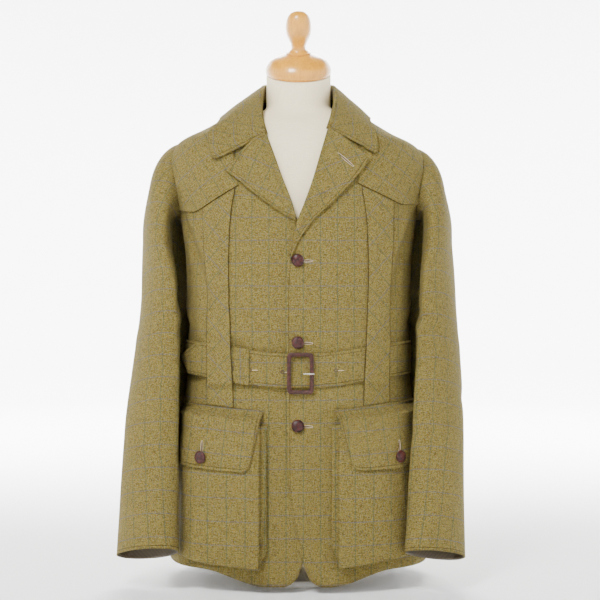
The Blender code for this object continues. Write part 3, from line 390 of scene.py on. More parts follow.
def swell(turn: Array, height: Array) -> Array:
    """How far the soft creases push the cloth in or out, the same for all that lies on it.

    Args:
        turn: Turns round the body from the centre front, in radians.
        height: Heights in metres.

    Returns:
        How far the creases push the cloth out, in metres.
    """
    total = 0.0005 * np.sin(7 * turn + 19 * height) + 0.0004 * np.sin(11 * turn - 31 * height + 1.3)
    for crease in CREASES:
        across = wrapped(turn - math.radians(crease.turn)) * REACH
        rise = height - crease.height
        angle = math.radians(crease.angle)
        along = across * math.cos(angle) + rise * math.sin(angle)
        beside = rise * math.cos(angle) - across * math.sin(angle)
        trough = np.exp(-(beside / crease.width) ** 2) - 0.7 * np.exp(-((beside / crease.width - 1.5) ** 2))
        total = total - 1.4 * crease.depth * trough * np.exp(-(along / crease.length) ** 2)
    return total * (1 - ease(height, 0.64, 0.70))


def body(turn: Array, height: Array, out: Array = 0.0) -> Array:
    """Points at a distance out of the jacket's outer face, creases included."""
    push = np.asarray(out + swell(turn, height))[..., None]
    return ring(turn, height) + outward(turn, height) * push


def settle(spots: Array) -> Array:
    """Points of the shoulders let down a little, more on the wearer's left, as the cloth hangs in wear.

    Args:
        spots: Points of cloth.

    Returns:
        The same points, moved.
    """
    x, height = spots[..., 0], spots[..., 2]
    left, away = x > 0, np.abs(x)
    drop = np.where(left, 0.0110, 0.0035) * ease(away, 0.06, 0.17) * ease(height, 0.60, 0.72)
    tuck = np.where(left, 0.0085, 0.0060) * ease(away, 0.13, 0.20) * ease(height, 0.58, 0.66)
    tuck = tuck + np.where(left, 0.0080, 0.0050) * ease(away, 0.055, 0.10) * ease(height, 0.74, 0.78)
    return spots - np.stack([np.sign(x) * tuck, 0 * x, drop], -1)


def turn_at(across: Array, height: Array) -> Array:
    """Turn of the front's points at a distance from the centre front.

    Args:
        across: Places from the middle to the wearer's left, in metres.
        height: Heights in metres.

    Returns:
        Turns round the body, in radians.
    """
    aim = np.clip(np.asarray(across / BODY["half_width"](height), float), -1, 1)
    s = aim.copy()
    for _ in range(8):
        s = np.clip(s - ((1 + SQUARE) * s - SQUARE * s**3 - aim) / (1 + SQUARE - 3 * SQUARE * s * s), -1, 1)
    return np.arcsin(s)


def seen(across: Array, height: Array, out: Array) -> tuple:
    """Turn, height and distance out of the points that are seen from the front at across, height.

    Args:
        across: Places from the middle to the wearer's left, in metres.
        height: Heights in metres.
        out: Distances out of the body's surface, in metres.

    Returns:
        Turns, heights and distances out of the body.
    """
    aim = across + 0 * height
    for _ in range(4):
        turn = turn_at(aim, height)
        x = ring(turn, height)[..., 0] + outward(turn, height)[..., 0] * out
        aim = aim + across - x
    return turn_at(aim, height), height, out


def armhole(around: Array, inset: float = 0.0) -> tuple:
    """Turn and height of the armhole seam, from the shoulder tip towards the front."""
    turn = SIDE - (ARMHOLE_TURN - inset / 0.15) * np.sin(around)
    return turn, ARMHOLE_MIDDLE + (ARMHOLE_HALF - inset) * np.cos(around)


def hem(across: Array) -> Array:
    """Height of the front's hem at a distance from the centre front."""
    return HEM_FRONT + HEM_RISE * ease(across, HEM_LEVEL, HEM_LEVEL + HEM_SPREAD)


def belt_height(turn: Array) -> Array:
    """Height of the belt's middle line, which rises from the buckle to the sides."""
    share = np.where(np.cos(turn) > 0, np.abs(np.sin(turn)), 1.0)
    return BELT_MIDDLE + BELT_RISE * ease(share, 0, 1)


def front_domain(column: str, s: Array, t: Array) -> tuple:
    """Turn and height on a front's cut, s out from its edge and t up.

    Args:
        column: over for the wearer's left front, under for the right one.
        s: Share from the front edge to the side seam and armhole.
        t: Share from the hem to the shoulder.

    Returns:
        Turn and height.
    """
    edge, corner = EDGES[column], float(EDGES[column](EDGE_LOW))
    low = EDGE_LOW + (EDGE_HIGH - EDGE_LOW) * np.minimum(t / EDGE_SHARE, 1)
    share = np.clip((t - EDGE_SHARE) / (1 - EDGE_SHARE), 0, 1)
    turn_in = turn_at(edge(low), low)
    turn_in = turn_in + (SIDE - turn_in) * share
    height_in = low + (NECK_POINT - EDGE_HIGH) * np.sin(share * SIDE)
    hole_turn, hole_height = armhole(math.pi * (1 - np.clip((t - SEAM_SHARE) / (1 - SEAM_SHARE), 0, 1)))
    bottom, under_arm = float(hem(1.0)), ARMHOLE_MIDDLE - ARMHOLE_HALF
    height_out = np.where(t < SEAM_SHARE, bottom + (under_arm - bottom) * t / SEAM_SHARE, hole_height)
    turn_out = np.where(t < SEAM_SHARE, SIDE, hole_turn)
    turn = turn_in + (turn_out - turn_in) * s
    height = height_in + (height_out - height_in) * s
    along = ring(turn, height)[..., 0] - corner
    drop = hem(corner + along) + (EDGE_LOW - HEM_FRONT) * np.maximum(1 - along / CORNER, 0) ** 2
    return turn, height + (drop - (EDGE_LOW + (bottom - EDGE_LOW) * s)) * (1 - t) ** 6


class Grain:
    """Place on the woven cloth: distance round the body from the centre front, and up it."""

    def __init__(self) -> None:
        """Measure the ring sections once, on a table of turns and heights."""
        self.turns = np.linspace(0, math.pi, 181)
        self.heights = np.linspace(0.0, 0.82, 165)
        turn, height = np.meshgrid(self.turns, self.heights, indexing="ij")
        spots = ring(turn, height)
        steps = np.linalg.norm(np.diff(spots, axis=0), axis=-1)
        self.girth = np.vstack([np.zeros(len(self.heights)), np.cumsum(steps, axis=0)])
        slope = np.diff(BODY["front"](self.heights)) / np.diff(self.heights)
        self.rise = np.concatenate(([0], np.cumsum(np.hypot(1, slope) * np.diff(self.heights))))

    def __call__(self, turn: Array, height: Array) -> Array:
        """Distances across and up the cloth, in metres.

        Args:
            turn: Turns round the body from the centre front, in radians.
            height: Heights in metres.

        Returns:
            A pair of distances for each point.
        """
        flipped = np.abs(turn) > math.pi
        base = np.where(flipped, 2 * math.pi - np.abs(turn), np.abs(turn))
        column = np.clip(base / math.pi * 180, 0, 179.999)
        row = np.clip(height / 0.82 * 164, 0, 163.999)
        i, j = column.astype(int), row.astype(int)
        a, b = column - i, row - j
        low = self.girth[i, j] * (1 - a) + self.girth[i + 1, j] * a
        high = self.girth[i, j + 1] * (1 - a) + self.girth[i + 1, j + 1] * a
        across = low * (1 - b) + high * b
        across = np.where(flipped, 2 * np.interp(height, self.heights, self.girth[-1]) - across, across)
        return np.stack([across * np.sign(turn + 1e-9), np.interp(height, self.heights, self.rise)], -1)


def linear(colour: str) -> tuple[float, float, float, float]:
    """Linear colour of an sRGB hex value, with full alpha.

    Args:
        colour: Colour as an sRGB hex value.

    Returns:
        The colour in linear light, with alpha 1.
    """
    parts = [int(colour[n:n + 2], 16) / 255 for n in (1, 3, 5)]
    lit = [part / 12.92 if part <= 0.04045 else ((part + 0.055) / 1.055) ** 2.4 for part in parts]
    return (lit[0], lit[1], lit[2], 1.0)


def node(tree: bpy.types.NodeTree, kind: str, inputs: dict | None = None, **settings: Any) -> bpy.types.Node:
    """Add a node to a tree, with its settings, values and links.

    Args:
        tree: Tree that the node goes into.
        kind: Kind of node, without its ShaderNode prefix.
        inputs: Value or linked socket of each input, by its name or number.
        settings: Properties of the node.

    Returns:
        The new node.
    """
    made = tree.nodes.new("ShaderNode" + kind)
    for key, value in settings.items():
        setattr(made, key, value)
    for key, value in (inputs or {}).items():
        if isinstance(value, bpy.types.NodeSocket):
            tree.links.new(value, made.inputs[key])
        else:
            made.inputs[key].default_value = value
    return made


def fresh(name: str, **values: Any) -> tuple[bpy.types.Material, bpy.types.NodeTree, bpy.types.Node]:
    """A new material with its tree and its shader, which takes the given constant values.

    Args:
        name: Name of the material.
        values: Constant values of the shader's inputs, by their names in lower case.

    Returns:
        The material, its tree and its shader node.
    """
    material = bpy.data.materials.new(name)
    material.use_nodes = True
    shader = material.node_tree.nodes["Principled BSDF"]
    for key, value in values.items():
        shader.inputs[key.replace("_", " ").capitalize() if key != "ior" else "IOR"].default_value = value
    return material, material.node_tree, shader


@dataclass(frozen=True)
class Tweed:
    """Milled wool tweed: matt and a little hairy, mustard and olive with two thin check lines."""

    name: str = "checked_wool_tweed"
    shade: str = "#4a411c"
    ground: str = "#766931"
    straw: str = "#8e8253"
    orange: str = "#875b25"
    teal: str = "#2b4638"
    lavender: str = "#474d61"
    # Dark colour of the painted shade along seams, also mixed into the stitch lines.
    sewn_shade: str = "#2c200f"
    across: float = 0.0275
    up: float = 0.0365
    stitch_in: float = 0.0048

    def material(self) -> bpy.types.Material:
        """Threads and flecks about 2 mm wide, which is coarser than real ones so that they show. Stitch lines are
        darkened partly for their thread and partly as painted shade, and seams get a line of painted shade.

        Returns:
            The finished material.
        """
        made, tree, shader = fresh(self.name, roughness=0.92)
        shader.inputs["Specular IOR Level"].default_value = 0.15
        shader.inputs["Sheen Weight"].default_value = 0.12
        shader.inputs["Sheen Roughness"].default_value = 0.55
        shader.inputs["Sheen Tint"].default_value = linear(self.straw)
        cloth = node(tree, "UVMap", uv_map="cloth").outputs[0]
        slub = node(tree, "TexNoise", {"Vector": cloth, "Scale": 70.0, "Detail": 2.0}).outputs["Color"]
        slub = node(tree, "VectorMath", {0: slub, 1: (-0.5, -0.5, -0.5)}, operation="ADD").outputs[0]
        slub = node(tree, "VectorMath", {0: slub, "Scale": 0.0024}, operation="SCALE").outputs[0]
        bent = node(tree, "VectorMath", {0: cloth, 1: slub}, operation="ADD").outputs[0]
        threads = []
        for scale in ((620.0, 95.0, 1.0), (110.0, 560.0, 1.0)):
            run = node(tree, "Mapping", {"Vector": bent, "Scale": scale}).outputs[0]
            threads.append(node(tree, "TexNoise", {"Vector": run, "Scale": 1.0, "Detail": 2.0}).outputs[0])
        weave = node(tree, "Math", {0: threads[0], 1: threads[1]}, operation="ADD").outputs[0]
        mottle = node(tree, "TexNoise", {"Vector": cloth, "Scale": 460.0, "Detail": 3.0}).outputs[0]
        weave = node(tree, "Math", {0: weave, 1: mottle}, operation="ADD").outputs[0]
        tone = node(tree, "MapRange", {0: weave, 1: 1.20, 2: 1.80}).outputs[0]
        tones = {0: tone, 6: linear(self.shade), 7: linear(self.ground)}
        colour = node(tree, "Mix", tones, data_type="RGBA").outputs[2]
        for scale, start, strength, tint in ((560.0, 0.54, 0.60, self.straw), (380.0, 0.58, 0.50, self.orange),
                                             (460.0, 0.58, 0.50, self.lavender)):
            fleck = {"Vector": bent, "Scale": scale, "Detail": 1.0, "Roughness": 0.6}
            spot = node(tree, "TexNoise", fleck).outputs[0]
            spot = node(tree, "MapRange", {0: spot, 1: start, 2: start + 0.12, 4: strength}).outputs[0]
            colour = node(tree, "Mix", {0: spot, 6: colour, 7: linear(tint)}, data_type="RGBA").outputs[2]
        split = node(tree, "SeparateXYZ", {0: bent})
        broken = node(tree, "MapRange", {0: mottle, 1: 0.30, 2: 0.60, 3: 0.45, 4: 1.0}).outputs[0]
        for axis, gap, half, strength, tint in ((0, self.across, 0.00115, 0.56, self.teal),
                                                (1, self.up, 0.00110, 0.50, self.lavender)):
            line = node(tree, "Math", {0: split.outputs[axis], 1: gap}, operation="DIVIDE").outputs[0]
            line = node(tree, "Math", {0: line}, operation="FRACT").outputs[0]
            line = node(tree, "Math", {0: line, 1: 0.5}, operation="SUBTRACT").outputs[0]
            line = node(tree, "Math", {0: line}, operation="ABSOLUTE").outputs[0]
            soft = {0: line, 1: half * 0.4 / gap, 2: half / gap, 3: strength, 4: 0.0}
            line = node(tree, "MapRange", soft).outputs[0]
            line = node(tree, "Math", {0: line, 1: broken}, operation="MULTIPLY").outputs[0]
            colour = node(tree, "Mix", {0: line, 6: colour, 7: linear(tint)}, data_type="RGBA").outputs[2]
        # Stitch lines, darkened partly for the thread and its needle holes and partly as painted shade in the sunk
        # stitches.
        edge = node(tree, "Attribute", attribute_name="edge").outputs["Fac"]
        sewn = node(tree, "Math", {0: edge, 1: self.stitch_in}, operation="SUBTRACT").outputs[0]
        sewn = node(tree, "Math", {0: sewn}, operation="ABSOLUTE").outputs[0]
        sewn = node(tree, "MapRange", {0: sewn, 1: 0.0003, 2: 0.0011, 3: 1.0, 4: 0.0}).outputs[0]
        dark = node(tree, "Math", {0: sewn, 1: 0.50}, operation="MULTIPLY").outputs[0]
        colour = node(tree, "Mix", {0: dark, 6: colour, 7: linear(self.sewn_shade)}, data_type="RGBA").outputs[2]
        # Painted shade: a dark line along edges sewn to the cloth below, standing for the shadow in the step between
        # the layers.
        seam_shade = node(tree, "Attribute", attribute_name="sewn_shade").outputs["Fac"]
        seam_shade = node(tree, "MapRange", {0: seam_shade, 1: 0.0004, 2: 0.0013, 3: 0.85, 4: 0.0}).outputs[0]
        colour = node(tree, "Mix", {0: seam_shade, 6: colour, 7: linear(self.sewn_shade)}, data_type="RGBA").outputs[2]
        tree.links.new(colour, shader.inputs["Base Color"])
        height = node(tree, "Math", {0: sewn, 1: -1.6, 2: weave}, operation="MULTIPLY_ADD").outputs[0]
        bump = node(tree, "Bump", {"Strength": 0.5, "Distance": 0.0006, "Height": height})
        tree.links.new(bump.outputs[0], shader.inputs["Normal"])
        return made


@dataclass(frozen=True)
class Lining:
    """Twilled cotton lining, seen up the sleeves and inside the hem: dark olive brown, a tone that is partly its own
    and partly painted shade inside them, with a faint shine.
    """

    name: str = "olive_lining"
    # Both tones are kept dark partly as painted shade inside the sleeves and the hem.
    light: str = "#40341a"
    dark: str = "#382d16"

    def material(self) -> bpy.types.Material:
        """Slanting ribs 2 mm apart, coarser than real ones so that they show.

        Returns:
            The finished material.
        """
        made, tree, shader = fresh(self.name, roughness=0.6)
        cloth = node(tree, "UVMap", uv_map="cloth").outputs[0]
        slant = {"Vector": cloth, "Scale": 80.0, "Distortion": 0.4}
        rib = node(tree, "TexWave", slant, bands_direction="DIAGONAL").outputs[1]
        colour = node(tree, "Mix", {0: rib, 6: linear(self.dark), 7: linear(self.light)}, data_type="RGBA").outputs[2]
        tree.links.new(colour, shader.inputs["Base Color"])
        return made


@dataclass(frozen=True)
class Linen:
    """Plain woven linen, glued over the form: cream and matt, with slubs."""

    name: str = "cream_linen"
    light: str = "#fff2cc"
    shade: str = "#f3e0b6"

    def material(self) -> bpy.types.Material:
        """Threads about 1.2 mm apart, coarser than real ones so that they show.

        Returns:
            The finished material.
        """
        made, tree, shader = fresh(self.name, roughness=0.88)
        cloth = node(tree, "UVMap", uv_map="cloth").outputs[0]
        threads = []
        for scale in ((900.0, 60.0, 1.0), (60.0, 900.0, 1.0)):
            run = node(tree, "Mapping", {"Vector": cloth, "Scale": scale}).outputs[0]
            threads.append(node(tree, "TexNoise", {"Vector": run, "Scale": 1.0, "Detail": 2.0}).outputs[0])
        weave = node(tree, "Math", {0: threads[0], 1: threads[1]}, operation="ADD").outputs[0]
        tone = node(tree, "MapRange", {0: weave, 1: 0.70, 2: 1.25}).outputs[0]
        tones = {0: tone, 6: linear(self.shade), 7: linear(self.light)}
        colour = node(tree, "Mix", tones, data_type="RGBA").outputs[2]
        tree.links.new(colour, shader.inputs["Base Color"])
        bump = node(tree, "Bump", {"Strength": 0.3, "Distance": 0.0004, "Height": weave})
        tree.links.new(bump.outputs[0], shader.inputs["Normal"])
        return made


@dataclass(frozen=True)
class Leather:
    """Vegetable tanned leather, dyed and waxed: fine pebbled grain with a soft shine."""

    name: str = "burgundy_leather"
    deep: str = "#1f0705"
    worn: str = "#4a1610"
    roughness: float = 0.36

    def material(self) -> bpy.types.Material:
        """Grain cells of about 0.9 mm, with paler wear.

        Returns:
            The finished material.
        """
        made, tree, shader = fresh(self.name, roughness=self.roughness)
        shader.inputs["Specular IOR Level"].default_value = 0.35
        at = node(tree, "TexCoord").outputs["Object"]
        grain = node(tree, "TexVoronoi", {"Vector": at, "Scale": 1100.0}, feature="F1").outputs[0]
        wear = node(tree, "TexNoise", {"Vector": at, "Scale": 260.0, "Detail": 4.0}).outputs[0]
        tone = node(tree, "MapRange", {0: wear, 1: 0.36, 2: 0.72}).outputs[0]
        colour = node(tree, "Mix", {0: tone, 6: linear(self.deep), 7: linear(self.worn)}, data_type="RGBA").outputs[2]
        tree.links.new(colour, shader.inputs["Base Color"])
        bump = node(tree, "Bump", {"Strength": 0.4, "Distance": 0.0002, "Height": grain})
        tree.links.new(bump.outputs[0], shader.inputs["Normal"])
        return made


@dataclass(frozen=True)
class Beech:
    """Turned steamed beech under a clear varnish: warm, with short darker flecks in the grain."""

    name: str = "varnished_beech"
    light: str = "#e8a528"
    dark: str = "#c27f12"

    def material(self) -> bpy.types.Material:
        """Growth rings a few millimetres apart and ray flecks 1 mm wide and 6 mm long.

        Returns:
            The finished material.
        """
        made, tree, shader = fresh(self.name, roughness=0.32)
        shader.inputs["Coat Weight"].default_value = 0.6
        shader.inputs["Coat Roughness"].default_value = 0.06
        at = node(tree, "TexCoord").outputs["Object"]
        run = node(tree, "Mapping", {"Vector": at, "Scale": (260.0, 260.0, 26.0)}).outputs[0]
        grain = node(tree, "TexNoise", {"Vector": run, "Scale": 1.0, "Detail": 3.0}).outputs[0]
        fleck = node(tree, "Mapping", {"Vector": at, "Scale": (900.0, 900.0, 150.0)}).outputs[0]
        fleck = node(tree, "TexNoise", {"Vector": fleck, "Scale": 1.0, "Detail": 1.0}).outputs[0]
        both = node(tree, "Math", {0: fleck, 1: 0.5, 2: grain}, operation="MULTIPLY_ADD").outputs[0]
        tone = node(tree, "MapRange", {0: both, 1: 0.45, 2: 1.15}).outputs[0]
        tones = {0: tone, 6: linear(self.light), 7: linear(self.dark)}
        colour = node(tree, "Mix", tones, data_type="RGBA").outputs[2]
        tree.links.new(colour, shader.inputs["Base Color"])
        return made


@dataclass(frozen=True)
class Plain:
    """A hard even surface: enamel, drawn steel, waxed thread, the dark rods of painted shade in buttonhole slits, or
    the studio's floor.
    """

    name: str
    light: str
    dark: str
    roughness: float
    metallic: float = 0.0
    scale: float = 300.0

    def material(self) -> bpy.types.Material:
        """A faint cloud of the two colours, and an uneven gloss.

        Returns:
            The finished material.
        """
        made, tree, shader = fresh(self.name, metallic=self.metallic)
        at = node(tree, "TexCoord").outputs["Object"]
        cloud = node(tree, "TexNoise", {"Vector": at, "Scale": self.scale, "Detail": 2.0}).outputs[0]
        tones = {0: cloud, 6: linear(self.dark), 7: linear(self.light)}
        colour = node(tree, "Mix", tones, data_type="RGBA").outputs[2]
        tree.links.new(colour, shader.inputs["Base Color"])
        low, high = self.roughness - 0.04, self.roughness + 0.04
        gloss = node(tree, "MapRange", {0: cloud, 1: 0.3, 2: 0.7, 3: low, 4: high}).outputs[0]
        tree.links.new(gloss, shader.inputs["Roughness"])
        return made


class Finish(Enum):
    """The finishes of the jacket and the form."""

    TWEED = Tweed()
    LINEN = Linen()
    LINING = Lining()
    LEATHER = Leather()
    BUCKLE_LEATHER = Leather("buckle_leather", "#2a100c", "#4a221a", 0.42)
    BEECH = Beech()
    STEEL = Plain("drawn_steel", "#d8d4cc", "#bdb8ae", 0.28, 1.0, 500.0)
    ENAMEL = Plain("baked_enamel", "#e9e6df", "#dcd8cf", 0.35)
    PALE_THREAD = Plain("waxed_pale_thread", "#b9a88a", "#94805f", 0.80, 0.0, 900.0)
    # Dark thread of the eyelets, also used for the dark rods of painted shade in the buttonholes' slits.
    DARK_THREAD_AND_SLIT_SHADE = Plain("waxed_dark_thread_and_slit_shade", "#4a3524", "#33261a", 0.80, 0.0, 900.0)


def lengths(spots: Array) -> tuple[Array, Array]:
    """Distance along each row and up each column of a grid of points.

    Args:
        spots: Grid of points.

    Returns:
        Both distances, in metres, for every point.
    """
    across = np.cumsum(np.linalg.norm(np.diff(spots, axis=0, prepend=spots[:1]), axis=-1), axis=0)
    up = np.cumsum(np.linalg.norm(np.diff(spots, axis=1, prepend=spots[:, :1]), axis=-1), axis=1)
    return across, up


@dataclass
class Maker:
    """Attributes:
        shift: Move from the jacket's own axis to the frame's.
        grain: Places on the woven cloth.
        dyed: Materials that were made so far.
    """

    shift: Array
    grain: Grain = field(default_factory=Grain)
    dyed: dict = field(default_factory=dict)

    def finish(self, piece: bpy.types.Object, finish: Finish, nodes: tuple[str, ...] = (), slot: str = "") -> None:
        """Give a piece its material, its body and the solids that it stands for.

        Args:
            piece: The piece to dress.
            finish: Its finish.
            nodes: CAD nodes that it replaces.
            slot: Slot of the record that it takes its finish from; not used.
        """
        self.dye(piece, finish)
        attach(piece, "root")
        if nodes:
            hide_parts(*nodes)
        LOG.info("%s made of %s", piece.name, finish.value.name)

    def dye(self, piece: bpy.types.Object, finish: Finish) -> None:
        """Give a piece one more material, made once for all pieces."""
        if finish not in self.dyed:
            self.dyed[finish] = finish.value.material()
        piece.data.materials.append(self.dyed[finish])

    def link(self, name: str, mesh: bmesh.types.BMesh, smooth: float = 40.0) -> bpy.types.Object:
        """Turn a bmesh into a smooth shaded object in the scene.

        Args:
            name: Name of the piece.
            mesh: Its mesh, which is freed.
            smooth: Angle in degrees past which an edge stays sharp.

        Returns:
            The object.
        """
        data = bpy.data.meshes.new(name)
        mesh.to_mesh(data)
        mesh.free()
        data.shade_smooth()
        data.set_sharp_from_angle(angle=math.radians(smooth))
        piece = bpy.data.objects.new(name, data)
        bpy.context.scene.collection.objects.link(piece)
        return piece

    def grid(self, name: str, size: tuple[int, int], place: Place, grain: Place | None = None,
             flip: bool = False, sewn: str = "", seams: str = "",
             smooth: float = 40.0) -> tuple[bpy.types.Object, Array]:
        """A surface made by moving the points of a flat grid.

        Args:
            name: Name of the piece.
            size: Faces across and up.
            place: Points of the surface for shares across and up.
            grain: Places on the woven cloth, or none to lay the grid out flat.
            flip: True for a piece whose grid runs the other way round.
            sewn: Edges with a row of sewing: any of l, r, b and t.
            seams: Edges sewn to the cloth below, which get a dark line of painted shade.
            smooth: Angle in degrees past which an edge stays sharp.

        Returns:
            The object and its grid of points.
        """
        mesh = bmesh.new()
        bmesh.ops.create_grid(mesh, x_segments=size[0], y_segments=size[1], size=0.5)
        s, t = np.meshgrid(np.linspace(0, 1, size[0] + 1), np.linspace(0, 1, size[1] + 1), indexing="ij")
        spots = settle(place(s, t))
        across, up = lengths(spots)
        cloth = grain(s, t) if grain else np.stack([across - across[size[0] // 2], up], -1)
        sides = {"l": across, "r": across[-1] - across, "b": up, "t": up[:, -1:] - up}
        marks = {}
        # The second mark places the painted shade along seams.
        for name_of, keys in (("edge", sewn), ("sewn_shade", seams)):
            away = np.min([sides[key] for key in keys], axis=0) if keys else np.ones_like(up)
            marks[mesh.verts.layers.float.new(name_of)] = away
        steps = [(round((v.co.x + 0.5) * size[0]), round((v.co.y + 0.5) * size[1])) for v in mesh.verts]
        for vertex, step in zip(mesh.verts, steps):
            vertex.co = spots[step] + self.shift
            for mark, away in marks.items():
                vertex[mark] = away[step]
        layer = mesh.loops.layers.uv.new("cloth")
        for face in mesh.faces:
            for loop in face.loops:
                loop[layer].uv = cloth[steps[loop.vert.index]]
        bmesh.ops.remove_doubles(mesh, verts=mesh.verts, dist=1e-6)
        if flip:
            bmesh.ops.reverse_faces(mesh, faces=mesh.faces)
        return self.link(name, mesh, smooth), spots

    def cloth(self, name: str, size: tuple[int, int], place: Place, rests_on: tuple[str, ...],
              wall: float = CLOTH, held: str = "hung", lined: bool = False, **how: Any) -> bpy.types.Object:
        """A cut piece of tweed, thickened inward.

        Args:
            name: Name of the piece.
            size: Number of cells across and up.
            place: Points of the surface for shares across and up.
            rests_on: Nodes or pieces that carry it; not used.
            wall: Thickness of the cloth in metres.
            held: How the sheet is held; not used.
            lined: True for a piece with a lining inside.
            how: What else the grid takes.

        Returns:
            The object.
        """
        piece, spots = self.grid(name, size, place, **how)
        solidify = piece.modifiers.new("wall", "SOLIDIFY")
        solidify.thickness = wall
        solidify.offset = -1
        self.finish(piece, Finish.TWEED, (name,))
        if lined:
            self.dye(piece, Finish.LINING)
            solidify.material_offset = 1
        across, up = lengths(spots)
        sides = np.linalg.norm(np.cross(spots[1:, 1:] - spots[:-1, :-1], spots[1:, :-1] - spots[:-1, 1:]), axis=-1)
        area = float(sides.sum()) / 2
        flat = (round(float(across[-1].max()), 3), round(float(up[:, -1].max()), 3))
        area = min(area, flat[0] * flat[1])
        return piece

    def lying(self, name: str, size: tuple[int, int], where: Where, rests_on: tuple[str, ...], side: int = 1,
              slant: float = 0.0, offset: tuple[float, float] = (0.0, 0.0), **how: Any) -> bpy.types.Object:
        """A piece of tweed on the body, whose pattern runs with the body's or at a slant to it.

        Args:
            name: Name of the piece.
            size: Number of cells across and up.
            where: Turn, height and distance out for shares across and up.
            rests_on: Nodes or pieces that carry it.
            side: 1 for the wearer's left, -1 for the right.
            slant: Angle in degrees between its threads and the body's.
            offset: Shift of its pattern across and up, in metres.
            how: What else cloth takes.

        Returns:
            The object.
        """
        turned = math.radians(slant) * side

        def place(s: Array, t: Array) -> Array:
            """Points on the body."""
            turn, height, out = where(s, t)
            return body(side * turn, height, out)

        def grain(s: Array, t: Array) -> Array:
            """Places on the woven cloth.

            Args:
                s: Shares across the grid.
                t: Shares up the grid.

            Returns:
                Distances across and up the cloth, in metres.
            """
            turn, height, _ = where(s, t)
            at = self.grain(side * turn, height) + np.array(offset)
            c, sn = math.cos(turned), math.sin(turned)
            return np.stack([at[..., 0] * c + at[..., 1] * sn, at[..., 1] * c - at[..., 0] * sn], -1)

        return self.cloth(name, size, place, rests_on, grain=grain, flip=side < 0, **how)

    def spun(self, name: str, profile: tuple, steps: int = 64, move: Matrix | None = None) -> bpy.types.Object:
        """A turned piece: a profile of radius and height spun round the upright axis.

        Args:
            name: Name of the piece.
            profile: Rows of radius and height, from the bottom.
            steps: Number of steps round.
            move: Where the piece goes, or none to leave it.

        Returns:
            The object.
        """
        mesh = bmesh.new()
        points = [(0.0, profile[0][1]), *profile, (0.0, profile[-1][1])]
        line = [mesh.verts.new((radius, 0, height)) for radius, height in points]
        edges = [mesh.edges.new(pair) for pair in zip(line, line[1:])]
        bmesh.ops.spin(mesh, geom=line + edges, cent=(0, 0, 0), axis=(0, 0, 1), dvec=(0, 0, 0),
                       angle=2 * math.pi, steps=steps, use_merge=True, use_duplicate=False)
        bmesh.ops.remove_doubles(mesh, verts=mesh.verts, dist=1e-6)
        bmesh.ops.recalc_face_normals(mesh, faces=mesh.faces)
        place = Matrix.Translation(Vector(self.shift)) @ (move or Matrix.Identity(4))
        bmesh.ops.transform(mesh, matrix=place, verts=mesh.verts)
        return self.link(name, mesh)

    def thread(self, name: str, path: Array, radius: float, sides: int = 8, closed: bool = False) -> bpy.types.Object:
        """A round thread or rod along a path, with rounded ends unless it is closed.

        Args:
            name: Name of the piece.
            path: Points that it follows.
            radius: Its radius in metres.
            sides: Number of its sides.
            closed: True where the path joins its own start.

        Returns:
            The object.
        """
        path = np.asarray(path, float)
        count = len(path)
        run = np.gradient(path, axis=0)
        if closed:
            run = np.roll(path, -1, axis=0) - np.roll(path, 1, axis=0)
            run[0] = run[-1] = path[1] - path[-2]
        run = unit(run)
        side = unit(np.cross(run, (0.0, -1.0, 0.15)))
        rise = np.cross(side, run)

        def place(s: Array, t: Array) -> Array:
            """Points round the path.

            Args:
                s: Shares across the grid.
                t: Shares up the grid.

            Returns:
                Points of the grid.
            """
            row = np.rint(s * (count - 1)).astype(int)
            angle = 2 * math.pi * t
            ends = 1.0 if closed else np.sqrt(np.clip(1 - (2 * np.abs(s - 0.5)) ** (count * 1.5), 0.02, 1))
            reach = (radius * ends * np.cos(angle))[..., None] * side[row]
            return path[row] + reach + (radius * ends * np.sin(angle))[..., None] * rise[row]

        piece, _ = self.grid(name, (count - 1, sides), place)
        return piece


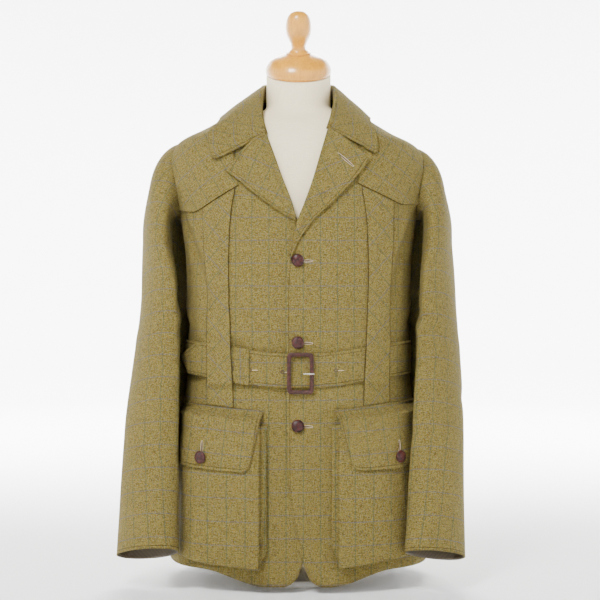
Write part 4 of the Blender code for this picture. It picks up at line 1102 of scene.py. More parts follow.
@dataclass
class Coat:
    """The jacket's body: two fronts and the back, with their yokes.

    Attributes:
        maker: Builds the pieces and hands them over.
        front_grid: Faces across and up a front.
        back_grid: Faces across and up the back.
    """

    maker: Maker
    front_grid: tuple[int, int] = (72, 130)
    back_grid: tuple[int, int] = (120, 120)

    def build(self) -> None:
        """Make the body and the yokes."""
        self.front("front_left", 1, "over")
        self.front("front_right", -1, "under")
        self.back()
        self.yoke("yoke_left", 1, "over")
        self.yoke("yoke_right", -1, "under")

    def front(self, name: str, side: int, column: str) -> None:
        """A front, from the hem to the shoulder; the under one sinks below the lap.

        Args:
            name: Name of the piece.
            side: 1 for the wearer's left, -1 for the right.
            column: Column of the edges' table that the front follows.
        """

        def where(s: Array, t: Array) -> tuple:
            """Places of the front.

            Args:
                s: Shares across the grid.
                t: Shares up the grid.

            Returns:
                Turns, heights and distances out of the body.
            """
            turn, height = front_domain(column, s * (1 - SEAM / 0.25), t)
            turn = np.minimum(turn, SIDE - SEAM_TURN)
            if side > 0:
                return turn, height, 0.0 * turn
            sink = (CLOTH + LIFT) * (1 - ease(ring(turn, height)[..., 0], LAP * 0.4, LAP))
            return turn, height, -sink * (1 - ease(height, ROLL_START, ROLL_START + 0.03))

        self.maker.lying(name, self.front_grid, where, ("form_torso",), side, lined=True, sewn="l",
                         offset=(0.006, 0.004))

    def back(self) -> None:
        """The back, from one side seam round to the other, with armholes and neckline."""
        gap, share = SEAM_TURN, 0.30

        def where(s: Array, t: Array) -> tuple:
            """Places of the back, from one side seam to the other.

            Args:
                s: Shares across the grid.
                t: Shares up the grid.

            Returns:
                Turns, heights and distances out of the body.
            """
            bottom, under_arm = float(hem(1.0)), ARMHOLE_MIDDLE - ARMHOLE_HALF
            hole_turn, hole_height = armhole(math.pi * (1 + np.clip((t - SEAM_SHARE) / (1 - SEAM_SHARE), 0, 1)))
            start = np.where(t < SEAM_SHARE, SIDE, hole_turn) + gap
            height = np.where(t < SEAM_SHARE, bottom + (under_arm - bottom) * t / SEAM_SHARE, hole_height)
            turn = start * (1 - s) + (2 * math.pi - start) * s
            half = np.minimum(s, 1 - s)
            neck = np.clip((half - share) / (1 - 2 * share), 0, 1)
            top = SIDE + gap + (math.pi - 2 * gap) * neck
            top = np.where(s > 0.5, 2 * math.pi - top, top)
            top_height = SHOULDER_TIP + (NECK_POINT - SHOULDER_TIP) * np.clip(half / share, 0, 1)
            bend = t**6
            turn = turn + bend * (top - SIDE - math.pi * s)
            least = np.minimum(start, SIDE + gap)
            turn = np.minimum(np.maximum(turn, least), 2 * math.pi - least)
            return turn, height + bend * (top_height - SHOULDER_TIP), 0.0 * turn

        self.maker.lying("back", self.back_grid, where, ("form_torso",), lined=True)

    def yoke(self, name: str, side: int, column: str) -> None:
        """A front yoke, on the front above its pointed lower edge.

        Args:
            name: Name of the piece.
            side: 1 for the wearer's left, -1 for the right.
            column: Column of the edges' table that the front follows.
        """

        def where(s: Array, t: Array) -> tuple:
            """Places of the yoke.

            Args:
                s: Shares across the grid.
                t: Shares up the grid.

            Returns:
                Turns, heights and distances out of the body.
            """
            across = YOKE_START + (YOKE_END - YOKE_START) * s
            low, high = 0.5 + 0 * s, 1.0 + 0 * s
            for _ in range(20):
                middle = (low + high) / 2
                turn, height = front_domain(column, across, middle)
                above = height > np.interp(ring(turn, height)[..., 0], YOKE_ACROSS, YOKE_EDGE[side])
                low, high = np.where(above, low, middle), np.where(above, middle, high)
            turn, height = front_domain(column, across, high + (1 - high) * t)
            return np.minimum(turn, SIDE - SEAM_TURN), height, LIFT + TRIM + 0 * turn

        front = "front_left" if side > 0 else "front_right"
        self.maker.lying(name, (56, 64), where, (front,), side, slant=-32, wall=TRIM, seams="b")


@dataclass
class Sleeves:
    """The two sleeves, each a tube from its armhole over the head down to the cuff.

    Attributes:
        maker: Builds the pieces and hands them over.
        grid: Faces round and along a sleeve.
    """

    maker: Maker
    grid: tuple[int, int] = (96, 190)

    def build(self) -> None:
        """Make both sleeves."""
        self.sleeve("sleeve_left", 1)
        self.sleeve("sleeve_right", -1)

    def tube(self, side: int, around: Array, height: Array) -> Array:
        """Points of a sleeve below its head, with its folds.

        Args:
            side: 1 for the wearer's left sleeve, -1 for the right.
            around: Turns round the sleeve, in radians.
            height: Heights in metres.

        Returns:
            Points of the sleeve.
        """
        at = {name: curve(height) for name, curve in SLEEVES[side].items()}
        angle = np.radians(at["turn"])
        c, s = np.cos(around), np.sin(around)
        reach, across = at["length"] * s, np.where(c > 0, at["outer"], at["inner"]) * c
        push = 0.0006 * np.sin(3 * around + 23 * height)
        for fold in SLEEVE_FOLDS + FINE_FOLDS[side]:
            away = (np.degrees(around) - fold.around + 180) % 360 - 180
            level = height + fold.slant * np.radians(away) * 0.06
            steep = (away / fold.half_turn) ** 2 + ((level - fold.height) / fold.half_height) ** 2
            push = push + fold.depth * np.exp(-steep)
        push = push * 1.1
        reach, across = reach - push * s, across - push * c
        close = ease(height, 0.15, 0.22) * (1 - ease(height, 0.58, 0.66))
        deep = 0.040 + 0.017 * (1 - ease(height, 0.42, 0.50)) + 0.008 * ease(height, 0.54, 0.60)
        deep = deep + 0.013 * (1 - ease(height, 0.33, 0.38))
        across = across - deep * close * np.clip(-1.8 * c, 0, 1) * np.clip(-1.6 * s, 0, 1)
        x = at["across"] - np.sin(angle) * reach + np.cos(angle) * across
        forward = at["forward"] + np.cos(angle) * reach + np.sin(angle) * across
        return np.stack([x, -forward, height + at["slope"] * (forward - at["forward"])], -1)

    def sleeve(self, name: str, side: int) -> None:
        """A sleeve with its head, which leaves the armhole outward and turns down.

        Args:
            name: Name of the piece.
            side: 1 for the wearer's left, -1 for the right.
        """

        def place(s: Array, t: Array) -> Array:
            """Points of the sleeve, head and tube together.

            Args:
                s: Shares across the grid.
                t: Shares up the grid.

            Returns:
                Points of the grid.
            """
            around = 2 * math.pi * (1 - s)
            down = 1 - t
            share = np.clip((down - HEAD_SHARE) / (1 - HEAD_SHARE), 0, 1)
            low = self.tube(side, around, SLEEVE_TOP + (SLEEVE_LOW - SLEEVE_TOP) * share)
            u = np.clip(down / HEAD_SHARE, 0, 1)[..., None]
            turn, height = armhole(around, 0.0009)
            start = ring(turn, height)
            end = self.tube(side, around, SLEEVE_TOP + 0 * around)
            c, sn = np.cos(around), np.sin(around)
            drop = -HEAD_DROP * (0.35 + 0.65 * np.abs(sn)) * (1 + c) / 1.3
            leave = np.stack([HEAD_OUT * np.maximum(c, 0) + 0.045, -0.05 * sn, drop], -1)
            step = self.tube(side, around, SLEEVE_TOP - 0.001 + 0 * around)
            arrive = (step - self.tube(side, around, SLEEVE_TOP + 0.001 + 0 * around)) * 55
            head = start * (1 + 2 * u) * (1 - u) ** 2 + leave * u * (1 - u) ** 2
            head = head + end * u * u * (3 - 2 * u) + arrive * u * u * (u - 1)
            spots = np.where(u < 1, head, low)
            spots[..., 0] *= side
            return spots

        rests = ("form_torso", "front_left" if side > 0 else "front_right")
        self.maker.cloth(name, self.grid, place, rests, lined=True, flip=side < 0, sewn="b")


@dataclass
class Revers:
    """The collar and the turned back lapels.

    Attributes:
        maker: Builds the pieces and hands them over.
    """

    maker: Maker

    def build(self) -> None:
        """Make the lapels and the collar."""
        self.lapel("lapel_left", 1)
        self.lapel("lapel_right", -1)
        self.collar()

    def lapel(self, name: str, side: int) -> None:
        """A lapel, rolled out of the front's edge and laid over the front.

        Args:
            name: Name of the piece.
            side: 1 for the wearer's left, -1 for the right.
        """
        rows = np.array(LAPELS[side])
        steps = np.arange(len(rows))
        cuts = [Curve(steps, rows[:, n]) for n in range(4)]
        roll, laid, rolled = 0.14, 0.0036, 0.0046
        turns = np.array([0.0, 0.2, 0.45, 0.7, 1.0])
        beside = np.array([0.0004, -0.0013, -0.0019, -0.0012, 0.0006])
        proud = np.array([0.0016, 0.0019, 0.0030, 0.0041, 0.0046])

        def where(s: Array, t: Array) -> tuple:
            """Places of the lapel, from its roll to its edge.

            Args:
                s: Shares across the grid.
                t: Shares up the grid.

            Returns:
                Turns, heights and distances out of the body.
            """
            roll_x, roll_z, edge_x, edge_z = (cut(t * (len(rows) - 1)) for cut in cuts)
            share = np.clip((s - roll) / (1 - roll), 0, 1)
            wrap = np.clip(s / roll, 0, 1)
            wide = ease(edge_x - roll_x, 0.0, 0.04)
            across = roll_x + (edge_x - roll_x) * share + np.interp(wrap, turns, beside) * wide * (s < roll)
            gorge = 0.0014 if side > 0 else 0.0085
            crown = gorge * np.sin(math.pi * share) + 0.0015 * (1 - share)
            height = roll_z + (edge_z - roll_z) * share + crown * ease(t, 0.78, 1.0)
            rise = 0.0050 + 0.0024 * np.sin(math.pi * np.minimum(share * 1.6, 1)) + 0.0010 * share
            rise = rise + 0.0030 * ease(share, 0.45, 1.0) * ease(t, 0.45, 1.0)
            flat = rolled + (rise - rolled) * ease(share, 0, 0.2)
            out = np.where(s < roll, np.interp(wrap, turns, proud), flat)
            return seen(across, height, laid + (out - laid) * wide)

        front = "front_left" if side > 0 else "front_right"
        self.maker.lying(name, (44, 72), where, (front,), side, slant=24, sewn="r" if side > 0 else "rt")

    def collar(self) -> None:
        """The collar in one piece: the stand round the neck, the fold and the fall."""

        def station(along: Array) -> list[Array]:
            """Points down the collar's section, from the stand over the fold to the edge.

            Args:
                along: Places along the collar, from -1 to 1.

            Returns:
                The points of each section, in order.
            """
            side = np.where(along >= 0, 1.0, -1.0)
            at = {}
            for name in COLLARS[1]:
                left, right = COLLARS[1][name](1 - np.abs(along)), COLLARS[-1][name](1 - np.abs(along))
                at[name] = np.where(along >= 0, left, right)
            fold = np.stack([at["fold_x"], at["fold_y"], at["fold_z"]], -1)
            turn, height = np.radians(at["turn"]), at["height"]
            face = outward(turn, height)
            lift = COLLAR_OUT + 0.0030 * (1 - ease(1 - np.abs(along), 0.02, 0.22))
            edge = ring(turn, height) + face * lift[..., None]
            level = np.minimum(at["fold_z"], 0.77)
            lean = outward(turn_at(np.minimum(at["fold_x"], 0.06), level), level)
            upright = at["upright"][..., None]
            up = unit(lean * (1 - upright) + np.array([0, 0, 1.0]) * upright)
            over = edge - fold
            over = unit(over - up * np.sum(over * up, -1, keepdims=True))
            stand = at["stand"][..., None]
            bend = fold - up * FOLD + over * FOLD
            spots = [fold - up * stand - over * FOLD * 0.9, fold - up * (stand + FOLD) * 0.5 - over * FOLD,
                     fold - up * FOLD * 0.8 - over * FOLD, fold, bend + up * FOLD * 0.2]
            crown = unit(up + face) * COLLAR_CROWN
            for share in (0.30, 0.65, 1.0):
                spots.append(bend + (edge - bend) * share + crown * 3.2 * share * (1 - share))
            mirrored = np.stack([side, 1 + 0 * side, 1 + 0 * side], -1)
            return [spot * mirrored for spot in spots]

        def place(s: Array, t: Array) -> Array:
            """Points of the collar, smooth through the sections.

            Args:
                s: Shares across the grid.
                t: Shares up the grid.

            Returns:
                Points of the grid.
            """
            level = (1 - t) * 7
            corner = np.clip((level - 4.2) / 2.8, 0, 1)
            spots = np.array(station((2 * s - 1) * (1 - 0.15 * (1 - np.sqrt(1 - corner**2)))))
            row = np.clip(level.astype(int), 0, 6)
            u = (level - row)[..., None]

            def pick(n: Array) -> Array:
                """Points of a row of the sections."""
                n = np.clip(n, 0, 7)
                return np.take_along_axis(spots, n[None, ..., None].repeat(3, -1), 0)[0]

            before, one, two, after = pick(row - 1), pick(row), pick(row + 1), pick(row + 2)
            slope_one, slope_two = (two - before) / 2, (after - one) / 2
            return (one * (1 + 2 * u) * (1 - u) ** 2 + slope_one * u * (1 - u) ** 2
                    + two * u * u * (3 - 2 * u) + slope_two * u * u * (u - 1))

        self.maker.cloth("collar", (150, 56), place, ("form_torso", "back"), wall=0.0018, sewn="blr")


@dataclass
class Pockets:
    """The bellows pockets with their flaps.

    Attributes:
        maker: Builds the pieces and hands them over.
        gusset: Share of a pocket's grid that the folded gusset takes.
    """

    maker: Maker
    gusset: float = 0.14

    def build(self) -> None:
        """Make both pockets."""
        for side, word in ((1, "left"), (-1, "right")):
            self.bag("pocket_" + word, side)
            self.flap("flap_" + word, side)

    def stand(self, side: int, along: Array, height: Array) -> Array:
        """How far a pocket's face stands off the front."""
        rise = POCKET_MOUTH + (1 - POCKET_MOUTH) * ease(POCKETS[side].top - height, 0.0, 0.09)
        return STANDS[side](along) * rise

    def turn(self, side: int, share: Array, height: Array) -> Array:
        """Turn of a pocket's points, from its inner edge to its outer one."""
        start = turn_at(POCKETS[side].inner, height)
        return start + (turn_at(POCKETS[side].outer, height) - start) * share

    def bag(self, name: str, side: int) -> None:
        """A pocket's face, with a twice folded gusset at its inner edge and plain ones elsewhere.

        Args:
            name: Name of the piece.
            side: 1 for the wearer's left, -1 for the right.
        """
        cut = POCKETS[side]
        steps = np.array([0.0, 0.22, 0.32, 0.52, 0.62, 0.85, 1.0])
        beside = np.array([0.004, -0.0085, -0.0088, 0.0050, 0.0052, -0.0008, 0.0008])
        deep = np.array([0.16, 0.18, 0.30, 0.46, 0.58, 0.90, 1.0])

        def where(s: Array, t: Array) -> tuple:
            """Places of the pocket.

            Args:
                s: Shares across the grid.
                t: Shares up the grid.

            Returns:
                Turns, heights and distances out of the body.
            """
            fold = np.clip(s / self.gusset, 0, 1)
            share = np.clip((s - self.gusset) / (0.97 - self.gusset), 0, 1)
            foot = ease(t, 0.0, 0.045)
            low = cut.bottom + cut.bottom_rise * share
            height = low + (cut.top - low) * np.clip((t - 0.03) / 0.97, 0, 1)
            taper = ease(height, cut.bottom + 0.004, cut.bottom + 0.035)
            turn = self.turn(side, share, height) + np.interp(fold, steps, beside) * (s < self.gusset) * taper / REACH
            deepness = np.where(s < self.gusset, np.interp(fold, steps, deep), 1 - ease(s, 0.97, 1.0) * 0.85)
            stand = self.stand(side, share, height) * np.minimum(deepness, 0.12 + 0.88 * foot)
            ripple = 0.0012 * np.sin(9 * share + 31 * height) * share * (1 - share) * 4
            return turn, height, 0.0012 + stand + ripple * (s > self.gusset)

        front = "front_left" if side > 0 else "front_right"
        self.maker.lying(name, (84, 90), where, (front,), side, wall=TRIM, sewn="", offset=(0.011, 0.013))

    def flap(self, name: str, side: int) -> None:
        """A pocket flap, sewn along its top and lying over the pocket.

        Args:
            name: Name of the piece.
            side: 1 for the wearer's left, -1 for the right.
        """
        cut = FLAPS[side]

        def where(s: Array, t: Array) -> tuple:
            """Places of the flap.

            Args:
                s: Shares across the grid.
                t: Shares up the grid.

            Returns:
                Turns, heights and distances out of the body.
            """
            drop, share = 1 - t, s
            start, end = turn_at(cut.top_inner, cut.top), turn_at(cut.outer, cut.top)
            top_x = ring(start + (end - start) * share, cut.top)[..., 0]
            top = cut.top + cut.top_rise * ease(top_x, cut.top_inner, FLAP_RISE_END)
            low = cut.bottom + cut.bottom_rise * share
            low = low + FLAP_CORNER * (1 - np.sqrt(1 - (1 - np.minimum(share / 0.11, 1)) ** 2))
            height = top + (low - top) * drop
            start = turn_at(cut.top_inner + (cut.low_inner - cut.top_inner) * drop, height)
            turn = start + (turn_at(cut.outer, height) - start) * share
            first, last = self.turn(side, 0 * s, height), self.turn(side, 0 * s + 1, height)
            along = np.clip((turn - first) / (last - first), 0, 1)
            depth = self.stand(side, along, np.minimum(height, POCKETS[side].top))
            ridge = 0.0014 * ease(drop, 0.0, 0.015) * (1 - ease(drop, 0.035, 0.06))
            return turn, height, FLAP_LIFT + ridge + (depth + FLAP_OVER) * ease(drop, 0.035, 0.20)

        front, pocket = ("front_left", "pocket_left") if side > 0 else ("front_right", "pocket_right")
        self.maker.lying(name, (96, 72), where, (front, pocket), side, wall=TRIM, sewn="lb", seams="t",
                         slant=4, offset=(0.004, -0.010))


@dataclass
class Belt:
    """The belt with its keeper and leather covered buckle, and the pleat bands over it.

    Attributes:
        maker: Builds the pieces and hands them over.
        keeper_ends: Places across of the keeper's two edges.
        frame_centre: Place across and height of the buckle's middle.
        frame_half: Half width and half height of the buckle.
        frame_bar: Width of the buckle's bars.
        frame_thick: Thickness of the buckle.
        prong_ends: Places across of the prong's ends.
        prong_height: Height of the prong in metres.
        prong_radius: Radius of the prong.
    """

    maker: Maker
    keeper_ends: tuple[float, float] = (-0.1025, -0.0790)
    frame_centre: tuple[float, float] = (0.0031, 0.3482)
    frame_half: tuple[float, float] = (0.0213, 0.0330)
    frame_bar: float = 0.0062
    frame_thick: float = 0.0042
    prong_ends: tuple[float, float] = (0.0075, 0.0262)
    prong_height: float = 0.3475
    prong_radius: float = 0.0011

    def build(self) -> None:
        """Make the belt, the bands that hold it, and the buckle."""
        gap = SEAM / 0.2
        low = BELT_LIFT + CLOTH
        self.stretch("belt_front", BELT_TIP, SIDE - gap, 220, True, ("front_left", "belt_end"),
                     lambda turn: low + low * (1 - ease(turn, BELT_END, BELT_END + 0.14)))
        self.stretch("belt_back", SIDE + gap, 3 * SIDE - gap, 160, False, ("back",), lambda turn: low + 0 * turn)
        self.stretch("belt_end", -SIDE + gap, BELT_END, 100, False, ("front_right",), lambda turn: low + 0 * turn)
        self.band("band_left", 1, 1)
        self.band("band_right", -1, 2)
        self.keeper()
        self.buckle()

    def stretch(self, name: str, start: float, finish: float, columns: int, pointed: bool,
                rests_on: tuple[str, ...], layer: Callable[[Array], Array]) -> None:
        """A stretch of the belt between two turns.

        Args:
            name: Name of the piece.
            start: Turn where it starts, in radians.
            finish: Turn where it ends, in radians.
            columns: Number of cells along.
            pointed: True for the stretch with the tail.
            rests_on: Nodes or pieces that carry it.
            layer: Distance out of the body for turns.
        """

        def where(s: Array, t: Array) -> tuple:
            """Places of the stretch.

            Args:
                s: Shares across the grid.
                t: Shares up the grid.

            Returns:
                Turns, heights and distances out of the body.
            """
            turn = start + (finish - start) * (s**1.3 if pointed else s)
            if not pointed:
                return turn, belt_height(turn) + BELT_HALF * (2 * t - 1), layer(turn)
            point = start + BELT_POINT * np.where(t > 0.5, 1.0, 0.62)
            slant = (np.sin(turn) - math.sin(start)) / (np.sin(point) - math.sin(start))
            half = BELT_HALF * np.minimum(0.05 + 0.95 * slant, 1)
            spring = 0.0060 * (1 - ease(turn, start, start + 1.5 * BELT_POINT))
            return turn, belt_height(turn) + 0.002 * (1 - s) ** 8 + half * (2 * t - 1), layer(turn) + spring

        self.maker.lying(name, (columns, 14), where, rests_on, sewn="bt", offset=(0.009, 0.017))

    def band(self, name: str, side: int, layers: int) -> None:
        """A pleat band cut on the bias, from under the yoke over the belt to the flap.

        Args:
            name: Name of the piece.
            side: 1 for the wearer's left, -1 for the right.
            layers: Layers of belt that the band runs over.
        """
        flat = LIFT + TRIM
        raised = layers * (BELT_LIFT + CLOTH) + LIFT + TRIM
        middle = float(belt_height(turn_at(BAND_MIDDLE, BELT_MIDDLE)))
        cut = FLAPS[side]

        def where(s: Array, t: Array) -> tuple:
            """Places of the band.

            Args:
                s: Shares across the grid.
                t: Shares up the grid.

            Returns:
                Turns, heights and distances out of the body.
            """
            inner, outer = BAND["inner"], BAND["outer"]
            foot = inner(cut.top) * (1 - s) + outer(cut.top) * s
            bottom = cut.top + cut.top_rise * ease(foot, cut.top_inner, FLAP_RISE_END) + 2 * SEAM
            head = inner(0.650) * (1 - s) + outer(0.612) * s
            top = np.interp(head, YOKE_ACROSS, YOKE_EDGE[side]) - 2 * SEAM
            height = bottom + (top - bottom) * t
            across = inner(height) * (1 - s) + outer(height) * s
            across = across + (head - across) * ease(t, 0.94, 1.0)
            away = np.abs(height - middle)
            return seen(across, height, raised + (flat - raised) * ease(away, BELT_HALF + 0.0065, BELT_HALF + 0.019))

        front = "front_left" if side > 0 else "front_right"
        self.maker.lying(name, (22, 170), where, (front, "belt_front"), side, slant=45, wall=TRIM, seams="lr")

    def keeper(self) -> None:
        """The loop over the tail, whose ends turn in above and below the belt."""
        proud = 2 * (BELT_LIFT + CLOTH) + LIFT + TRIM
        half = BELT_HALF + BELT_LIFT
        steps = np.linspace(0, 1, 7)
        drops = np.array([-half - TRIM, -half - TRIM, -half, 0.0, half, half + TRIM, half + TRIM])
        outs = np.array([0.0024, proud * 0.6, proud, proud + 0.0002, proud, proud * 0.6, 0.0024])

        def where(s: Array, t: Array) -> tuple:
            """Places of the loop.

            Args:
                s: Shares across the grid.
                t: Shares up the grid.

            Returns:
                Turns, heights and distances out of the body.
            """
            across = self.keeper_ends[0] + (self.keeper_ends[1] - self.keeper_ends[0]) * s
            middle = belt_height(turn_at(across, BELT_MIDDLE + 0 * across))
            return seen(across, middle + np.interp(t, steps, drops), np.interp(t, steps, outs))

        self.maker.lying("belt_keeper", (12, 42), where, ("belt_front", "front_right"), wall=TRIM, slant=90)

    def buckle(self) -> None:
        """The leather covered frame: a round section swept round a rounded rectangle, and its prong."""
        centre, half, bar, thick = self.frame_centre, self.frame_half, self.frame_bar, self.frame_thick
        face = body(turn_at(np.array(0.0), np.array(centre[1])), np.array(centre[1]), 2 * (BELT_LIFT + CLOTH))
        back = float(face[1]) - SEAM

        def place(s: Array, t: Array) -> Array:
            """Points of the frame.

            Args:
                s: Shares across the grid.
                t: Shares up the grid.

            Returns:
                Points of the grid.
            """
            angle = 2 * math.pi * s
            c, sn = np.cos(angle), np.sin(angle)
            inset = bar / 2 * (1 - np.cos(2 * math.pi * t))
            depth = thick / 2 * (1 + np.sign(np.sin(2 * math.pi * t)) * np.abs(np.sin(2 * math.pi * t)) ** 0.6)
            box = [np.sign(part) * np.abs(part) ** 0.22 for part in (c, sn)]
            x = centre[0] + box[0] * (half[0] - inset)
            z = centre[1] + box[1] * (half[1] - inset)
            return np.stack([x, back - depth, z], -1)

        piece, _ = self.maker.grid("buckle_frame", (144, 20), place, smooth=80)
        self.maker.finish(piece, Finish.BUCKLE_LEATHER, ("buckle",))
        over = back - thick - self.prong_radius - SEAM
        start = back - self.prong_radius
        first, last = self.prong_ends
        share = np.linspace(0, 1, 26)
        x = first + (last - first) * share
        y = start + (over - start) * ease(share, 0.15, 0.62)
        path = np.stack([x, y, self.prong_height + 0 * x], -1)
        prong = self.maker.thread("buckle_tongue", path, self.prong_radius, 12)
        self.maker.finish(prong, Finish.STEEL, ("buckle_prong",))


@dataclass
class Fastenings:
    """Leather buttons, worked buttonholes and the belt's stitched eyelets.

    Attributes:
        maker: Builds the pieces and hands them over.
        pockets: The pockets that carry two of the buttons.
        radius: Radius of a button.
        thick: Height of a button.
        front_buttons: Name and height of each front button.
        slit_ends: Places across of a front buttonhole's ends.
        eyelets: Place across and height of each eyelet.
        lapel_slit: Place across and height of its two ends.
    """

    maker: Maker
    pockets: Pockets
    radius: float = 0.0100
    thick: float = 0.0065
    front_buttons: tuple = (("button_top", 0.5283), ("button_middle", 0.3969), ("button_bottom", 0.2644))
    slit_ends: tuple[float, float] = (0.0060, 0.0225)
    eyelets: tuple = ((-0.1046, 0.3553), (-0.0778, 0.3530), (-0.0253, 0.3500), (0.0600, 0.3525))
    lapel_slit: tuple = ((0.0632, 0.6985), (0.0885, 0.6790))

    def build(self) -> None:
        """Make the buttons and all worked holes."""
        for name, height in self.front_buttons:
            turn, level = turn_at(np.array(-0.0010), np.array(height)), np.array(height)
            self.button(name, body(turn, level), outward(turn, level))
            start, end = ((across, height - 0.0010) for across in self.slit_ends)
            self.hole(name + "_hole", start, end, 0.0, name)
        for side, word, share, proud in ((1, "left", 0.555, 0.0013), (-1, "right", 0.510, 0.0022)):
            cut = FLAPS[side]
            level = np.array(cut.bottom + cut.bottom_rise * share + 0.0170)
            spots = [body(side * self.pockets.turn(side, np.array(along), level), level,
                          FLAP_LIFT + FLAP_OVER + self.pockets.stand(side, np.array(along), level))
                     for along in (share - 0.05, share + 0.05)]
            normal = unit(np.cross(spots[1] - spots[0], (0.0, 0.0, 1.0))) * side
            self.button("pocket_button_" + word, (spots[0] + spots[1]) / 2 + normal * proud, normal)
            self.flap_hole("flap_hole_" + word, side, share, float(level), "pocket_button_" + word)
        for number, (x, z) in enumerate(self.eyelets):
            out = 2 * (BELT_LIFT + CLOTH) if x < 0 else BELT_LIFT + CLOTH
            self.eyelet(f"belt_eyelet_{number}", x, z, out)
        self.lapel_hole()

    def button(self, name: str, spot: Array, normal: Array) -> None:
        """A domed button of plaited leather, just off the cloth.

        Args:
            name: Name of the piece.
            spot: Middle of the button's back.
            normal: Direction out of the cloth there.
        """
        rows = ((0.45, 0.0), (0.90, 0.10), (0.99, 0.30), (1.0, 0.45), (0.96, 0.62), (0.86, 0.76), (0.72, 0.86),
                (0.55, 0.93), (0.36, 0.98), (0.16, 1.0))
        facing = Vector(normal).to_track_quat("Z", "Y").to_matrix().to_4x4()
        move = Matrix.Translation(Vector(spot + normal * SEAM)) @ facing
        profile = tuple((self.radius * r, self.thick * h) for r, h in rows)
        piece = self.maker.spun(name + "_knot", profile, 48)
        for vertex in piece.data.vertices:
            at = vertex.co - Vector(self.maker.shift)
            x, y = (at.x + at.y) * 0.7071 / 0.0032, (at.x - at.y) * 0.7071 / 0.0032
            over = math.cos(math.pi * math.floor(x + 0.5)) * math.cos(math.pi * math.floor(y + 0.5)) > 0
            strand = abs(math.cos(math.pi * (x if over else y)))
            lift = 0.0006 * (strand**0.5 - 0.6) * (at.z > self.thick * 0.25)
            at = at * (1 + lift / self.radius) + Vector((0, 0, lift * 0.8))
            vertex.co = move @ at + Vector(self.maker.shift)
        self.maker.finish(piece, Finish.LEATHER, (name,))

    def worked(self, name: str, path: Array, slot: str) -> None:
        """A worked buttonhole: a closed bar of pale thread round a dark rod of painted shade in the slit.

        Args:
            name: Name of the two pieces.
            path: Points of the slit, on the face of the cloth.
            slot: Slot of the record that both take their finish from.
        """
        run = unit(path[-1] - path[0])
        side = unit(np.cross(run, (0.0, -1.0, 0.0)))
        width = 0.0016
        angle = np.linspace(0, 2 * math.pi, 49)
        share = np.clip(0.5 - 0.5 * np.cos(angle) * 1.06, 0, 1)
        at = np.stack([np.interp(share, np.linspace(0, 1, len(path)), path[:, n]) for n in range(3)], -1)
        loop = at + side * (width * np.sin(angle))[:, None]
        # Painted shade: a dark rod lies in the slit, where only shade shows.
        slit_shade = self.maker.thread(name + "_slit", path, 0.0009, 6)
        self.maker.finish(slit_shade, Finish.DARK_THREAD_AND_SLIT_SHADE, slot=slot)
        bar = self.maker.thread(name + "_bar", loop, 0.0006, 6, closed=True)
        self.maker.finish(bar, Finish.PALE_THREAD, slot=slot)

    def hole(self, name: str, start: tuple[float, float], end: tuple[float, float], out: float, slot: str) -> None:
        """A buttonhole on the front between two places seen from the front."""
        x, z = np.linspace(start[0], end[0], 14), np.linspace(start[1], end[1], 14)
        self.worked(name, body(*seen(x, z, out + 0.0004)), slot)

    def flap_hole(self, name: str, side: int, share: float, level: float, slot: str) -> None:
        """The upright buttonhole over a flap's button.

        Args:
            name: Name of the piece.
            side: 1 for the wearer's left, -1 for the right.
            share: Place across the flap, from 0 to 1.
            level: Height of the button in metres.
            slot: Slot of the record that it takes its finish from.
        """
        heights = np.linspace(level + 0.0070, level + 0.0250, 14)
        turn = self.pockets.turn(side, share + 0 * heights, heights)
        out = FLAP_LIFT + FLAP_OVER + self.pockets.stand(side, share + 0 * heights, heights) + 0.0004
        self.worked(name, body(side * turn, heights, out), slot)

    def lapel_hole(self) -> None:
        """The buttonhole in the wearer's left lapel, level with its tip."""
        x, z = (np.linspace(start, end, 14) for start, end in zip(*self.lapel_slit))
        self.worked("lapel_hole", body(*seen(x, z, 0.0072 + 0 * x)), "lapel_left")

    def eyelet(self, name: str, x: float, z: float, out: float) -> None:
        """A stitched eyelet in the belt with its short bar.

        Args:
            name: Name of the piece.
            x: Place from the middle to the wearer's left, in metres.
            z: Height in metres.
            out: Distances out of the body's surface, in metres.
        """
        angle = np.linspace(0, 2 * math.pi, 33)
        spot = body(*seen(x + 0.0026 * np.cos(angle), z + 0.0026 * np.sin(angle), out + 0.0003 + 0 * angle))
        ring_piece = self.maker.thread(name, spot, 0.0007, 6, closed=True)
        self.maker.finish(ring_piece, Finish.DARK_THREAD_AND_SLIT_SHADE, slot="belt_front")
        run = np.linspace(0.0030, 0.0130, 10)
        tail = body(*seen(x + run, z - 0.0004 + 0 * run, out + 0.0002 + 0 * run))
        bar = self.maker.thread(name + "_tail", tail, 0.0007, 6)
        self.maker.finish(bar, Finish.PALE_THREAD, slot="belt_front")


